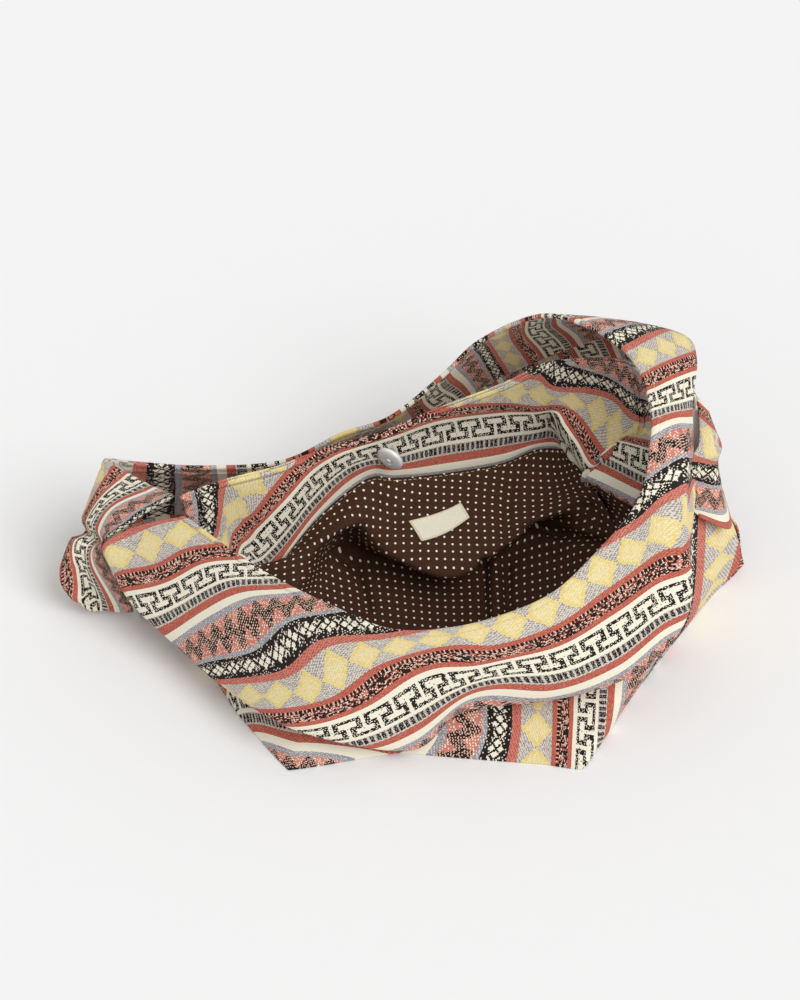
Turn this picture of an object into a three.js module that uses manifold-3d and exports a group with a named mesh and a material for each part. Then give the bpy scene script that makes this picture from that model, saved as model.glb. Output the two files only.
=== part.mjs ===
// A slouched hobo bag in striped jacquard, lying on its base with its mouth towards the front.
// Millimetres, +Z up, the mouth opens towards -Y and up, the strap runs behind the bag.
import * as THREE from "three";
import { mergeVertices } from "three/addons/utils/BufferGeometryUtils.js";
import Module from "manifold-3d";

// Overall sizes of the bag as it lies.
const BAG_LENGTH = 436; // from the folded strap on the left to the corner of the base on the right
const BAG_DEPTH = 278; // from the front hem to the back of the strap
const BAG_HEIGHT = 174; // to the top of the strap's arch

// Cloth.
const JACQUARD = 1.6; // one layer of woven cloth
const FACING = 1.2; // inner facing round the mouth
const FACING_SPACE = 1.8; // room between the cloth and its facing, for the snap's washers
const LINING = 0.8;
const STRAP = 3.2; // two layers sewn together
const SEAM = 0.3; // clear space where two pieces are sewn
const BASE = 1.5; // flat base cloth

// Strap tail and the metal slider on it.
const TAIL_WIDTH = 40;
const TAIL = 2;
const TAIL_STRAIGHT = 74;
const TAIL_TUCK = 1.2; // the tail's top leans this far in, to the strap that it is sewn to
const TAIL_SEWN = 6.5; // length of tail above the straight stretch
const TAIL_END = 24; // length of tail below the straight stretch
const TAIL_FLARE = 10; // how far the end swings out
const TAIL_TURN = 0.19; // radians that the tail is turned towards the back
const SLIDER_LENGTH = 37; // along the tail
const SLIDER_BAR = 3.4; // width of the slider's bars
const SLIDER_PLATE = 1.8; // thickness of the slider's bars
const SLIDER_SPACE = 0.5; // clear of the tail on every side
const SLIDER_TOP = 4; // from the top of the straight tail to the slider
const SLIDER_ROUND = 1.5;
const SLIDER_LIP = 0.4; // the end bars are this much thicker than the crossbars' outer faces

// Magnetic snap.
const SNAP_RADIUS = 9;
const SNAP_EDGE = 2.2; // thickness of each half at its rim
const SNAP_BOSS = 3; // radius of the stud's nose
const SNAP_NOSE = 2; // how far the nose stands out
const SNAP_WELL = 3.6; // radius of the socket's well
const SOCKET_SEAT = 0.7; // stands off the curved back facing
const STUD_SEAT = 1.5; // stands off the more curved front facing
const WASHER_RADIUS = 4.5;
const WASHER_HOLE = 2;
const WASHER = 0.5;

// Label.
const LABEL_LENGTH = 36;
const LABEL_WIDTH = 16;
const LABEL = 0.6;
const LABEL_TURN = 0.32; // radians

// The curves below are drawn for a bag of this size and stretch with the sizes above.
const DRAWN_LENGTH = 436;
const DRAWN_DEPTH = 278;
const DRAWN_HEIGHT = 174;
const DRAWN_HEM = 3;
const DRAWN_CENTRE_X = 0.7;
const DRAWN_CENTRE_Y = 25;
const HEM = BASE + JACQUARD + 2 * SEAM;

function placed([x, y, z]) {
  const rise = (BAG_HEIGHT - HEM) / (DRAWN_HEIGHT - DRAWN_HEM);
  return new THREE.Vector3(
    (x - DRAWN_CENTRE_X) * (BAG_LENGTH / DRAWN_LENGTH),
    (y - DRAWN_CENTRE_Y) * (BAG_DEPTH / DRAWN_DEPTH),
    HEM + (z - DRAWN_HEM) * rise,
  );
}

// Each column runs from the mouth's front rim down over the front's bulge to the hem on the base:
// rim, upper front, lower front, lip of the fold, tuck under the lip, skirt, hem.
const FRONT = [
  [[-138, 17, 95], [-158, 20, 87], [-177, 22, 76], [-191, 18, 66], [-183, 15, 48], [-172, 16, 26], [-162, 20, 3]],
  [[-110, -10, 94], [-133, -6, 85], [-154, -4, 68], [-173, -4, 42], [-168, 2, 30], [-156, 8, 16], [-142, 8, 3]],
  [[-83, -33, 93], [-103, -34, 82], [-124, -32, 58], [-142, -30, 27], [-138, -24, 18], [-128, -24, 10], [-122, -32, 3]],
  [[-49, -58, 95], [-72, -60, 82], [-97, -60, 54], [-117, -60, 26], [-108, -50, 15], [-102, -56, 8], [-105, -64, 3]],
  [[-11, -77, 92], [-30, -86, 76], [-50, -94, 50], [-67, -95, 21], [-60, -80, 13], [-64, -92, 7], [-72, -110, 3]],
  [[26, -78, 93], [18, -90, 76], [10, -99, 45], [3, -103, 20], [0, -100, 11], [-2, -98, 6], [-4, -97, 3]],
  [[61, -71, 98], [54, -84, 80], [45, -93, 55], [36, -91, 33], [36, -88, 22], [40, -94, 12], [44, -101, 3]],
  [[92, -59, 106], [92, -72, 89], [92, -85, 65], [90, -85, 37], [86, -70, 27], [88, -87, 14], [86, -105, 3]],
  [[118, -35, 116], [123, -52, 100], [128, -68, 76], [131, -78, 46], [122, -60, 34], [122, -82, 16], [111, -109, 3]],
  [[139, -12, 127], [147, -30, 114], [155, -50, 92], [160, -64, 59], [150, -46, 42], [149, -47, 20], [144, -48, 3]],
  [[148, 4, 138], [160, -8, 128], [171, -24, 108], [177, -39, 77], [174, -22, 60], [184, -6, 32], [182, 14, 3]],
  [[152, 20, 150], [165, 16, 139], [174, 9, 122], [176, 4, 97], [182, 16, 84], [200, 28, 46], [201, 42, 3]],
  [[154, 40, 159], [169, 40, 150], [177, 38, 136], [178, 35, 113], [186, 44, 98], [208, 54, 56], [221, 67, 6]],
];

// Each column of the strap runs across it, from the edge that carries on from the mouth's front rim
// to the outer edge. The strap leaves the front on the right, arches over, runs behind the bag and
// folds over on the left, where it joins the front again.
const STRAP_RUN = [
  [[150, 62, 168], [167, 65, 160], [179, 66, 145], [180, 62, 121]],
  [[140, 83, 174], [165, 92, 167], [184, 103, 150], [160, 100, 119]],
  [[117, 108, 174], [144, 116, 168], [174, 125, 150], [154, 134, 112]],
  [[86, 130, 164], [103, 141, 150], [125, 155, 128], [143, 163, 92]],
  [[48, 139, 134], [52, 150, 114], [58, 158, 88], [66, 165, 56]],
  [[22, 132, 108], [22, 144, 86], [24, 152, 60], [28, 159, 30]],
  [[-10, 120, 84], [-12, 132, 64], [-12, 140, 38], [-10, 146, 10]],
  [[-42, 110, 78], [-44, 119, 57], [-45, 125, 32], [-44, 130, 6]],
  [[-80, 96, 67], [-80, 103, 47], [-80, 108, 26], [-80, 112, 5]],
  [[-131, 86, 72], [-131, 92, 50], [-131, 96, 27], [-131, 99, 5]],
  [[-170, 79, 82], [-174, 82, 56], [-178, 82, 30], [-174, 82, 5]],
  [[-192, 70, 92], [-204, 52, 66], [-219, 31, 28], [-206, 22, 5]],
  [[-166, 44, 94], [-190, 38, 76], [-209, 26, 44], [-190, 19, 5]],
  [[-142, 20, 95], [-166, 25, 84], [-190, 22, 64], [-172, 20, 5]],
];

// Each column of the back runs from its rim down to the hem:
// rim, middle of the facing, lower edge of the facing, lower back, hem.
const BACK = [
  [[-140, 28, 93], [-136, 22, 78], [-134, 18, 58], [-150, 22, 32], [-150, 24, 3]],
  [[-110, 47, 90], [-94, 36, 74], [-78, 26, 55], [-108, 44, 30], [-112, 46, 3]],
  [[-81, 58, 93], [-66, 52, 74], [-55, 53, 59], [-76, 56, 30], [-80, 54, 3]],
  [[-45, 76, 98], [-36, 75, 80], [-30, 76, 67], [-40, 74, 32], [-42, 70, 3]],
  [[-13, 84, 102], [-11, 85, 84], [-9, 85, 64], [-12, 90, 32], [-12, 86, 3]],
  [[22, 97, 110], [22, 98, 86], [22, 96, 57], [22, 104, 30], [22, 98, 3]],
  [[61, 107, 121], [60, 109, 92], [60, 106, 52], [60, 114, 28], [60, 107, 3]],
  [[92, 114, 134], [94, 116, 98], [96, 110, 60], [98, 118, 32], [100, 112, 3]],
  [[114, 112, 141], [112, 98, 104], [133, 68, 76], [136, 96, 40], [138, 104, 3]],
  [[128, 108, 146], [134, 90, 112], [146, 62, 84], [162, 84, 44], [166, 96, 3]],
  [[150, 90, 154], [158, 72, 124], [164, 50, 92], [190, 70, 48], [200, 78, 3]],
  [[160, 66, 152], [168, 50, 131], [171, 34, 105], [197, 58, 57], [217, 69, 3]],
];

// The lining hangs between the facings: each column runs from under the back facing, down the
// slouched back wall with its bulge, over the bottom and up to under the front facing.
const LINING_RUN = [
  [[-122, 14, 48], [-128, 8, 44], [-133, 4, 46], [-137, 0, 52], [-139, -3, 60], [-141, -5, 68]],
  [[-96, 24, 40], [-96, 14, 24], [-96, 6, 12], [-94, -6, 8], [-94, -20, 12], [-94, -26, 32]],
  [[-66, 30, 42], [-66, 16, 28], [-66, 16, 14], [-64, -8, 7], [-66, -34, 8], [-72, -46, 28]],
  [[-38, 48, 48], [-38, 30, 34], [-36, 34, 14], [-34, -4, 7], [-36, -50, 7], [-46, -62, 28]],
  [[-8, 62, 50], [-4, 40, 32], [-4, 36, 12], [-4, 0, 7], [-2, -62, 7], [-12, -76, 28]],
  [[30, 70, 46], [30, 44, 26], [30, 34, 12], [30, 0, 7], [32, -62, 7], [28, -78, 28]],
  [[66, 78, 44], [66, 54, 30], [66, 46, 16], [66, 6, 8], [66, -54, 8], [64, -70, 32]],
  [[94, 80, 46], [94, 58, 34], [94, 48, 18], [94, 10, 9], [94, -40, 10], [92, -58, 36]],
  [[122, 54, 52], [118, 40, 38], [116, 30, 22], [116, 8, 14], [116, -20, 16], [118, -38, 42]],
  [[140, 40, 56], [138, 24, 40], [138, 10, 26], [138, -2, 20], [138, -12, 26], [142, -22, 52]],
  [[166, 30, 90], [165, 22, 82], [165, 14, 82], [165, 8, 90], [166, 8, 102], [168, 12, 116]],
];
// Where each lining column meets the two facings, counted in columns of the back and of the front.
const LINING_ON_BACK = [0.55, 0.95, 1.8, 2.8, 4, 5.2, 6.2, 7, 8, 9, 10.6];
const LINING_ON_FRONT = [0.95, 1.3, 2.2, 3.1, 4.2, 5.2, 6.2, 7.2, 8.4, 9.6, 11.1];

const FACING_FOOT_BACK = 2; // row of BACK at the facing's lower edge
const FACING_FOOT_FRONT = 1.5; // row of FRONT at the facing's lower edge
const FACING_TOP = 0.06;
const LINING_DROP = 0.035; // rows between the facing's lower edge and the lining sewn to it

const TAIL_START = [179.0, 102, 131]; // top of the tail's straight stretch, drawn like the curves above

// Smooth curve through four neighbours.
function blend(p, q, r, s, t) {
  const point = q.clone().multiplyScalar(2);
  point.addScaledVector(r.clone().sub(p), t);
  const square = p.clone().multiplyScalar(2).addScaledVector(q, -5).addScaledVector(r, 4).sub(s);
  point.addScaledVector(square, t * t);
  const cube = q.clone().multiplyScalar(3).addScaledVector(r, -3).add(s).sub(p);
  point.addScaledVector(cube, t * t * t);
  return point.multiplyScalar(0.5);
}

function along(points, t) {
  const last = points.length - 1;
  const step = Math.min(Math.max(Math.floor(t), 0), last - 1);
  const at = (i) => {
    if (i < 0) return points[0].clone().multiplyScalar(2).sub(points[1]);
    if (i > last) return points[last].clone().multiplyScalar(2).sub(points[last - 1]);
    return points[i];
  };
  return blend(at(step - 1), at(step), at(step + 1), at(step + 2), t - step);
}

// A smooth surface through a grid of columns; column and row are counted in grid steps.
function surface(columns) {
  return (column, row) => along(columns.map((points) => along(points, row)), column);
}

// The same surface with its normal, on the side given by facing.
function withNormal(shape, facing) {
  const step = 0.02;
  return (column, row) => {
    const across = shape(column + step, row).sub(shape(column - step, row));
    const down = shape(column, row + step).sub(shape(column, row - step));
    const normal = across.cross(down).normalize().multiplyScalar(facing);
    return { point: shape(column, row), normal };
  };
}

function shifted(place, distance) {
  return (column, row) => {
    const { point, normal } = place(column, row);
    return point.addScaledVector(normal, distance);
  };
}

// A closed sheet: the place's surface from one distance to another along its normal.
function sheet(place, { columns, rows, across, down, outer, inner }) {
  const points = [];
  const faces = [];
  const index = (side, i, j) => (side * (across + 1) + i) * (down + 1) + j;
  for (const distance of [outer, inner]) {
    const layer = shifted(place, distance);
    for (let i = 0; i <= across; i += 1) {
      for (let j = 0; j <= down; j += 1) {
        const column = columns[0] + ((columns[1] - columns[0]) * i) / across;
        const row = rows[0] + ((rows[1] - rows[0]) * j) / down;
        points.push(...layer(column, row).toArray());
      }
    }
  }
  const quad = (a, b, c, d) => faces.push(a, b, c, a, c, d);
  for (let i = 0; i < across; i += 1) {
    for (let j = 0; j < down; j += 1) {
      quad(index(0, i, j), index(0, i + 1, j), index(0, i + 1, j + 1), index(0, i, j + 1));
      quad(index(1, i, j), index(1, i, j + 1), index(1, i + 1, j + 1), index(1, i + 1, j));
    }
  }
  for (let i = 0; i < across; i += 1) {
    quad(index(0, i + 1, 0), index(0, i, 0), index(1, i, 0), index(1, i + 1, 0));
    quad(index(0, i, down), index(0, i + 1, down), index(1, i + 1, down), index(1, i, down));
  }
  for (let j = 0; j < down; j += 1) {
    quad(index(0, 0, j), index(0, 0, j + 1), index(1, 0, j + 1), index(1, 0, j));
    quad(index(0, across, j + 1), index(0, across, j), index(1, across, j), index(1, across, j + 1));
  }
  return closed(points, faces);
}

function closed(points, faces) {
  let volume = 0;
  const corner = (i) => new THREE.Vector3().fromArray(points, 3 * i);
  for (let i = 0; i < faces.length; i += 3) {
    volume += corner(faces[i]).dot(corner(faces[i + 1]).cross(corner(faces[i + 2])));
  }
  const turned = volume < 0 ? faces.slice().reverse() : faces;
  const geometry = new THREE.BufferGeometry();
  geometry.setAttribute("position", new THREE.Float32BufferAttribute(points, 3));
  geometry.setIndex(turned);
  geometry.computeVertexNormals();
  return geometry;
}

// Sets a geometry made round +Z onto a place, with +Z along the normal.
function seated(geometry, place, column, row, distance) {
  const { point, normal } = place(column, row);
  const turn = new THREE.Quaternion().setFromUnitVectors(new THREE.Vector3(0, 0, 1), normal);
  geometry.applyQuaternion(turn);
  point.addScaledVector(normal, distance);
  geometry.translate(point.x, point.y, point.z);
  return geometry;
}

function turnedProfile(pairs, segments) {
  const profile = pairs.map(([radius, height]) => new THREE.Vector2(radius, height));
  const geometry = new THREE.LatheGeometry(profile, segments);
  geometry.deleteAttribute("uv");
  geometry.deleteAttribute("normal");
  const whole = mergeVertices(geometry, 1e-4);
  whole.rotateX(Math.PI / 2);
  whole.computeVertexNormals();
  return whole;
}

const JACQUARD_LOOK = new THREE.MeshStandardMaterial({ color: 0xb88f7c, roughness: 0.9, metalness: 0 });
const LINING_LOOK = new THREE.MeshStandardMaterial({ color: 0x3f271c, roughness: 0.85, metalness: 0 });
const METAL_LOOK = new THREE.MeshStandardMaterial({ color: 0xc9ccce, roughness: 0.25, metalness: 1 });
const LABEL_LOOK = new THREE.MeshStandardMaterial({ color: 0xf0e8d4, roughness: 0.8, metalness: 0 });

const part = new THREE.Group();
part.name = "hobo_bag";
function add(name, geometry, material) {
  const mesh = new THREE.Mesh(geometry, material);
  mesh.name = name;
  part.add(mesh);
}

const frontColumns = FRONT.map((column) => column.map(placed));
const strapColumns = STRAP_RUN.map((column) => column.map(placed));
const backColumns = BACK.map((column) => column.map(placed));

// The strap's columns start at the front's last column, and the front's shape looks one column
// ahead into the strap, so that the cloth runs on smoothly across the seam.
const joinColumn = frontColumns[FRONT.length - 1];
const aheadColumn = joinColumn.map((point, row) =>
  row < 4 ? strapColumns[0][row] : point.clone().multiplyScalar(2).sub(frontColumns[FRONT.length - 2][row]),
);
const front = withNormal(surface([...frontColumns, aheadColumn]), -1);
const strapStart = frontColumns[FRONT.length - 2].slice(0, 4);
const strap = withNormal(surface([strapStart, joinColumn.slice(0, 4), ...strapColumns]), -1);
const back = withNormal(surface(backColumns), 1);

const joinAt = FRONT.length - 1;
const joinGap = SEAM / 20;
add(
  "front_panel",
  sheet(front, {
    columns: [0, joinAt - joinGap], rows: [0, 6], across: 36, down: 18, outer: 0, inner: -JACQUARD,
  }),
  JACQUARD_LOOK,
);
add(
  "back_panel",
  sheet(back, { columns: [0, 11], rows: [0, 4], across: 28, down: 12, outer: 0, inner: -JACQUARD }),
  JACQUARD_LOOK,
);
add(
  "strap",
  sheet(strap, {
    columns: [1 + joinGap, STRAP_RUN.length + 0.8], rows: [0, 3], across: 48, down: 6, outer: 0, inner: -STRAP,
  }),
  JACQUARD_LOOK,
);

// Flat base cloth inside the ring of hems.
const hemRing = [
  ...frontColumns.map((column) => column[6]),
  ...backColumns.map((column) => column[4]).reverse(),
];
const ringCurve = new THREE.CatmullRomCurve3(hemRing, true, "catmullrom", 0.4);
const baseShape = new THREE.Shape(ringCurve.getPoints(110).slice(0, -1).map((p) => new THREE.Vector2(p.x, p.y)));
add(
  "base_panel",
  new THREE.ExtrudeGeometry(baseShape, { depth: BASE, bevelEnabled: false, curveSegments: 1 }),
  JACQUARD_LOOK,
);

// Facings inside the rim.
const facingOuter = -(JACQUARD + FACING_SPACE);
const facingInner = facingOuter - FACING;
add(
  "front_facing",
  sheet(front, {
    columns: [0.9, 11.2], rows: [FACING_TOP, FACING_FOOT_FRONT], across: 30, down: 4,
    outer: facingOuter, inner: facingInner,
  }),
  JACQUARD_LOOK,
);
add(
  "back_facing",
  sheet(back, {
    columns: [0.5, 10.9], rows: [FACING_TOP, FACING_FOOT_BACK], across: 26, down: 5,
    outer: facingOuter, inner: facingInner,
  }),
  JACQUARD_LOOK,
);

// Lining, sewn to the lower edges of both facings.
const liningInset = facingOuter - FACING / 2;
const liningRows = LINING_RUN[0].map((_, row) => LINING_RUN.map((column) => placed(column[row])));
function between(values, t) {
  const step = Math.min(Math.max(Math.floor(t), 0), values.length - 2);
  return values[step] + (values[step + 1] - values[step]) * (t - step);
}
function liningShape(column, row) {
  const points = [
    shifted(back, liningInset)(between(LINING_ON_BACK, column), FACING_FOOT_BACK + LINING_DROP),
    ...liningRows.map((points) => along(points, column)),
    shifted(front, liningInset)(between(LINING_ON_FRONT, column), FACING_FOOT_FRONT + LINING_DROP),
  ];
  return along(points, row);
}
const lining = withNormal(liningShape, -1);
add(
  "lining",
  sheet(lining, {
    columns: [0, 10], rows: [0, 7], across: 28, down: 24, outer: LINING / 2, inner: -LINING / 2,
  }),
  LINING_LOOK,
);

// Label on the lining's back wall, bare.
const labelAt = { column: 4.78, row: 1.2 };
const labelPlace = (x, y) => {
  const turnedX = x * Math.cos(LABEL_TURN) - y * Math.sin(LABEL_TURN);
  const turnedY = x * Math.sin(LABEL_TURN) + y * Math.cos(LABEL_TURN);
  const step = 0.05;
  const { point } = lining(labelAt.column, labelAt.row);
  const perColumn = lining(labelAt.column + step, labelAt.row).point.distanceTo(point) / step;
  const perRow = lining(labelAt.column, labelAt.row + step).point.distanceTo(point) / step;
  return lining(labelAt.column + turnedX / perColumn, labelAt.row - turnedY / perRow);
};
add(
  "label",
  sheet(labelPlace, {
    columns: [-LABEL_LENGTH / 2, LABEL_LENGTH / 2], rows: [-LABEL_WIDTH / 2, LABEL_WIDTH / 2],
    across: 10, down: 5, outer: LINING / 2 + SEAM + LABEL, inner: LINING / 2 + SEAM,
  }),
  LABEL_LOOK,
);

// Magnetic snap: a socket on the back facing and a stud on the front facing, each held by a washer
// between the facing and the outer cloth.
const socketAt = [4, 0.88];
const studAt = [4.9, 0.6];
const socket = turnedProfile(
  [[0, 0], [SNAP_RADIUS - 1, 0], [SNAP_RADIUS, 0.8], [SNAP_RADIUS - 0.6, SNAP_EDGE - 0.4],
    [SNAP_RADIUS - 2.4, SNAP_EDGE], [SNAP_WELL, SNAP_EDGE], [SNAP_WELL - 0.6, 0.9], [0, 0.9], [0, 0]],
  24,
);
const stud = turnedProfile(
  [[0, 0], [SNAP_RADIUS - 1, 0], [SNAP_RADIUS, 0.8], [SNAP_RADIUS - 0.6, SNAP_EDGE - 0.4],
    [SNAP_RADIUS - 2.4, SNAP_EDGE], [SNAP_BOSS, SNAP_EDGE], [SNAP_BOSS, SNAP_EDGE + SNAP_NOSE - 0.5],
    [SNAP_BOSS - 0.6, SNAP_EDGE + SNAP_NOSE], [0, SNAP_EDGE + SNAP_NOSE], [0, 0]],
  24,
);
const washer = () => turnedProfile(
  [[WASHER_HOLE, 0], [WASHER_RADIUS, 0], [WASHER_RADIUS, WASHER], [WASHER_HOLE, WASHER], [WASHER_HOLE, 0]],
  24,
);
const flipped = (place) => (column, row) => {
  const { point, normal } = place(column, row);
  return { point, normal: normal.negate() };
};
const washerDepth = JACQUARD + (FACING_SPACE - WASHER) / 2;
add("snap_socket", seated(socket, flipped(back), ...socketAt, -facingInner + SOCKET_SEAT), METAL_LOOK);
add("snap_stud", seated(stud, flipped(front), ...studAt, -facingInner + STUD_SEAT), METAL_LOOK);
add("socket_washer", seated(washer(), flipped(back), ...socketAt, washerDepth), METAL_LOOK);
add("stud_washer", seated(washer(), flipped(front), ...studAt, washerDepth), METAL_LOOK);

// Strap tail: a loose end sewn to the strap at its top, hanging down outside the bag's right end.
// Its own frame has x down the tail, y outwards and z across its width.
const tailTop = placed(TAIL_START);
const tailDown = new THREE.Vector3(0.02, -0.05, -0.99).normalize();
const tailOut = new THREE.Vector3(Math.cos(TAIL_TURN), Math.sin(TAIL_TURN), 0);
tailOut.addScaledVector(tailDown, -tailOut.dot(tailDown)).normalize();
const tailAcross = tailDown.clone().cross(tailOut);
const tailFrame = new THREE.Matrix4().makeBasis(tailDown, tailOut, tailAcross).setPosition(tailTop);

const tailPath = new THREE.CatmullRomCurve3([
  new THREE.Vector3(-TAIL_SEWN, -TAIL_TUCK, 0),
  new THREE.Vector3(0, 0, 0),
  new THREE.Vector3(TAIL_STRAIGHT / 2, 0, 0),
  new THREE.Vector3(TAIL_STRAIGHT * 0.92, 0, 0),
  new THREE.Vector3(TAIL_STRAIGHT, 0, 0),
  new THREE.Vector3(TAIL_STRAIGHT + TAIL_END * 0.6, TAIL_FLARE * 0.4, 0),
  new THREE.Vector3(TAIL_STRAIGHT + TAIL_END, TAIL_FLARE, 0),
]);
const tailPoints = tailPath.getPoints(18);
const tailSide = (sign) => tailPoints.map((point, i) => {
  const before = tailPoints[Math.max(i - 1, 0)];
  const after = tailPoints[Math.min(i + 1, tailPoints.length - 1)];
  const run = after.clone().sub(before).normalize();
  return new THREE.Vector2(point.x - (run.y * sign * TAIL) / 2, point.y + (run.x * sign * TAIL) / 2);
});
const tailShape = new THREE.Shape([...tailSide(1), ...tailSide(-1).reverse()]);
const tail = new THREE.ExtrudeGeometry(tailShape, { depth: TAIL_WIDTH, bevelEnabled: false });
tail.translate(0, 0, -TAIL_WIDTH / 2);
tail.applyMatrix4(tailFrame);
add("strap_tail", tail, JACQUARD_LOOK);

// Slider: a flat frame on the tail's inner side and a raised middle bar on its outer side, so that
// the tail lies straight between them.
const { Manifold, Mesh } = await Module().then((wasm) => {
  wasm.setup();
  return wasm;
});
function solid(geometry) {
  const bare = geometry.clone();
  bare.deleteAttribute("uv");
  bare.deleteAttribute("normal");
  const whole = mergeVertices(bare, 1e-4);
  return new Manifold(new Mesh({
    numProp: 3,
    vertProperties: new Float32Array(whole.attributes.position.array),
    triVerts: new Uint32Array(whole.index.array),
  }));
}
function geometryOf(manifold) {
  const mesh = manifold.getMesh();
  const geometry = new THREE.BufferGeometry();
  geometry.setAttribute("position", new THREE.Float32BufferAttribute(Array.from(mesh.vertProperties), 3));
  geometry.setIndex(Array.from(mesh.triVerts));
  geometry.computeVertexNormals();
  return geometry;
}
function roundedBox(length, width, radius) {
  const shape = new THREE.Shape();
  shape.moveTo(-length / 2 + radius, -width / 2);
  shape.lineTo(length / 2 - radius, -width / 2);
  shape.absarc(length / 2 - radius, -width / 2 + radius, radius, -Math.PI / 2, 0);
  shape.lineTo(length / 2, width / 2 - radius);
  shape.absarc(length / 2 - radius, width / 2 - radius, radius, 0, Math.PI / 2);
  shape.lineTo(-length / 2 + radius, width / 2);
  shape.absarc(-length / 2 + radius, width / 2 - radius, radius, Math.PI / 2, Math.PI);
  shape.lineTo(-length / 2, -width / 2 + radius);
  shape.absarc(-length / 2 + radius, -width / 2 + radius, radius, Math.PI, 1.5 * Math.PI);
  return shape;
}
function block(length, width, height, radius) {
  const options = { depth: height, bevelEnabled: false, curveSegments: 4 };
  const geometry = new THREE.ExtrudeGeometry(roundedBox(length, width, radius), options);
  geometry.translate(0, 0, -height / 2);
  return geometry;
}
const slot = TAIL_WIDTH + 2 * SLIDER_SPACE;
const sliderWidth = slot + 2 * SLIDER_BAR;
const plateOut = TAIL / 2 + SLIDER_SPACE + SLIDER_PLATE / 2;
const pieces = [];
for (const side of [-1, 1]) {
  const longBar = new THREE.BoxGeometry(SLIDER_BAR, slot + SLIDER_BAR, SLIDER_PLATE);
  longBar.translate(side * (SLIDER_LENGTH / 2 - SLIDER_BAR), 0, -plateOut);
  pieces.push(solid(longBar));
  const endBar = block(SLIDER_LENGTH, SLIDER_BAR, 2 * plateOut + SLIDER_PLATE + SLIDER_LIP, SLIDER_ROUND);
  endBar.translate(0, (side * (sliderWidth - SLIDER_BAR)) / 2, 0);
  pieces.push(solid(endBar));
}
const middleBar = new THREE.BoxGeometry(SLIDER_BAR, slot + SLIDER_BAR, SLIDER_PLATE);
middleBar.translate(0, 0, plateOut);
pieces.push(solid(middleBar));
const slider = geometryOf(Manifold.union(pieces));
// The slider is drawn with z outwards; the tail's frame has y outwards and z across.
slider.rotateX(-Math.PI / 2);
slider.translate(SLIDER_TOP + SLIDER_LENGTH / 2, 0, 0);
slider.applyMatrix4(tailFrame);
add("slider", slider, METAL_LOOK);

// Stand the part on z = 0 with the middle of its footprint box at the origin.
const box = new THREE.Box3().setFromObject(part);
const middle = box.getCenter(new THREE.Vector3());
for (const mesh of part.children) {
  mesh.geometry.translate(-middle.x, -middle.y, -box.min.z);
}

export default part;
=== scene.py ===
"""A slouched hobo bag in banded jacquard, lying with its mouth open, and its strap behind it."""
import math
from functools import partialmethod

import bmesh
import bpy
import numpy as np
from mathutils import Matrix, Vector


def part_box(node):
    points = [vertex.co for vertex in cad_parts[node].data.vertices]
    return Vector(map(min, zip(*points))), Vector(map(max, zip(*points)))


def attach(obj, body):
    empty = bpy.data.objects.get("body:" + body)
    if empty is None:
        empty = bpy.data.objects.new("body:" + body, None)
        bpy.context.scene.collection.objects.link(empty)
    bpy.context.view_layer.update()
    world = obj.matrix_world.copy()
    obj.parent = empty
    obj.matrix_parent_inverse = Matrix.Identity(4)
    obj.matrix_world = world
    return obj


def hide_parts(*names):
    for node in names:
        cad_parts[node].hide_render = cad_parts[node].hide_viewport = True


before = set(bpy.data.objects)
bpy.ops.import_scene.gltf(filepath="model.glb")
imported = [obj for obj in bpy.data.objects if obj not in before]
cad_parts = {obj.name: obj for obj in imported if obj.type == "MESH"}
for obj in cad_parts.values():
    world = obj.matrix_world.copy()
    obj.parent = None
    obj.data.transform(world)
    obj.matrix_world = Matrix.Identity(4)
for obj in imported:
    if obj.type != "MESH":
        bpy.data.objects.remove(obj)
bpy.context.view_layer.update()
bpy.ops.object.select_all(action="DESELECT")

# The curves are drawn in millimetres on the bag as it lies, and set into the frame by placed().
SHIFT_X = -0.861
SHIFT_Y = -26.806
HEM = 3.7
DRAWN_HEM = 3.0
FLOOR_HEM = 0.8  # the cloth's hem lies on the floor
RISE = 0.99591

# Thickness of each cloth, in millimetres.
JACQUARD = 1.6
FACING = 1.2
LINING = 0.8
STRAP = 3.2
LAP = 1.6
LABEL = 0.6

# How far a sheet's face stands off the surface it is drawn on, in millimetres.
BACK_OFF = 3.2
FRONT_FACING_OFF = 4.6
LINING_OFF = 0.4
LABEL_OFF = 1.6
BASE_LIFT = 0.2  # above the floor

# Weave of the jacquard.
REPEAT = 127.0  # the bands repeat after this many millimetres of cloth
THREAD = 0.68  # one thread, in millimetres
SHEAR = 0.12  # how firmly the woven figures keep upright, against keeping their length
FRONT_STRETCH = 1.12  # how much longer the woven figures are on the front

# The camera, drawn in the same millimetres.
VIEW_TARGET = (-3.2, 66.0, 60.7)
VIEW_DISTANCE = 2500.0
VIEW_ELEVATION = math.radians(45)
VIEW_FOCUS = 3906.0  # picture points per unit of slope
PICTURE = (800, 1000)

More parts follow.
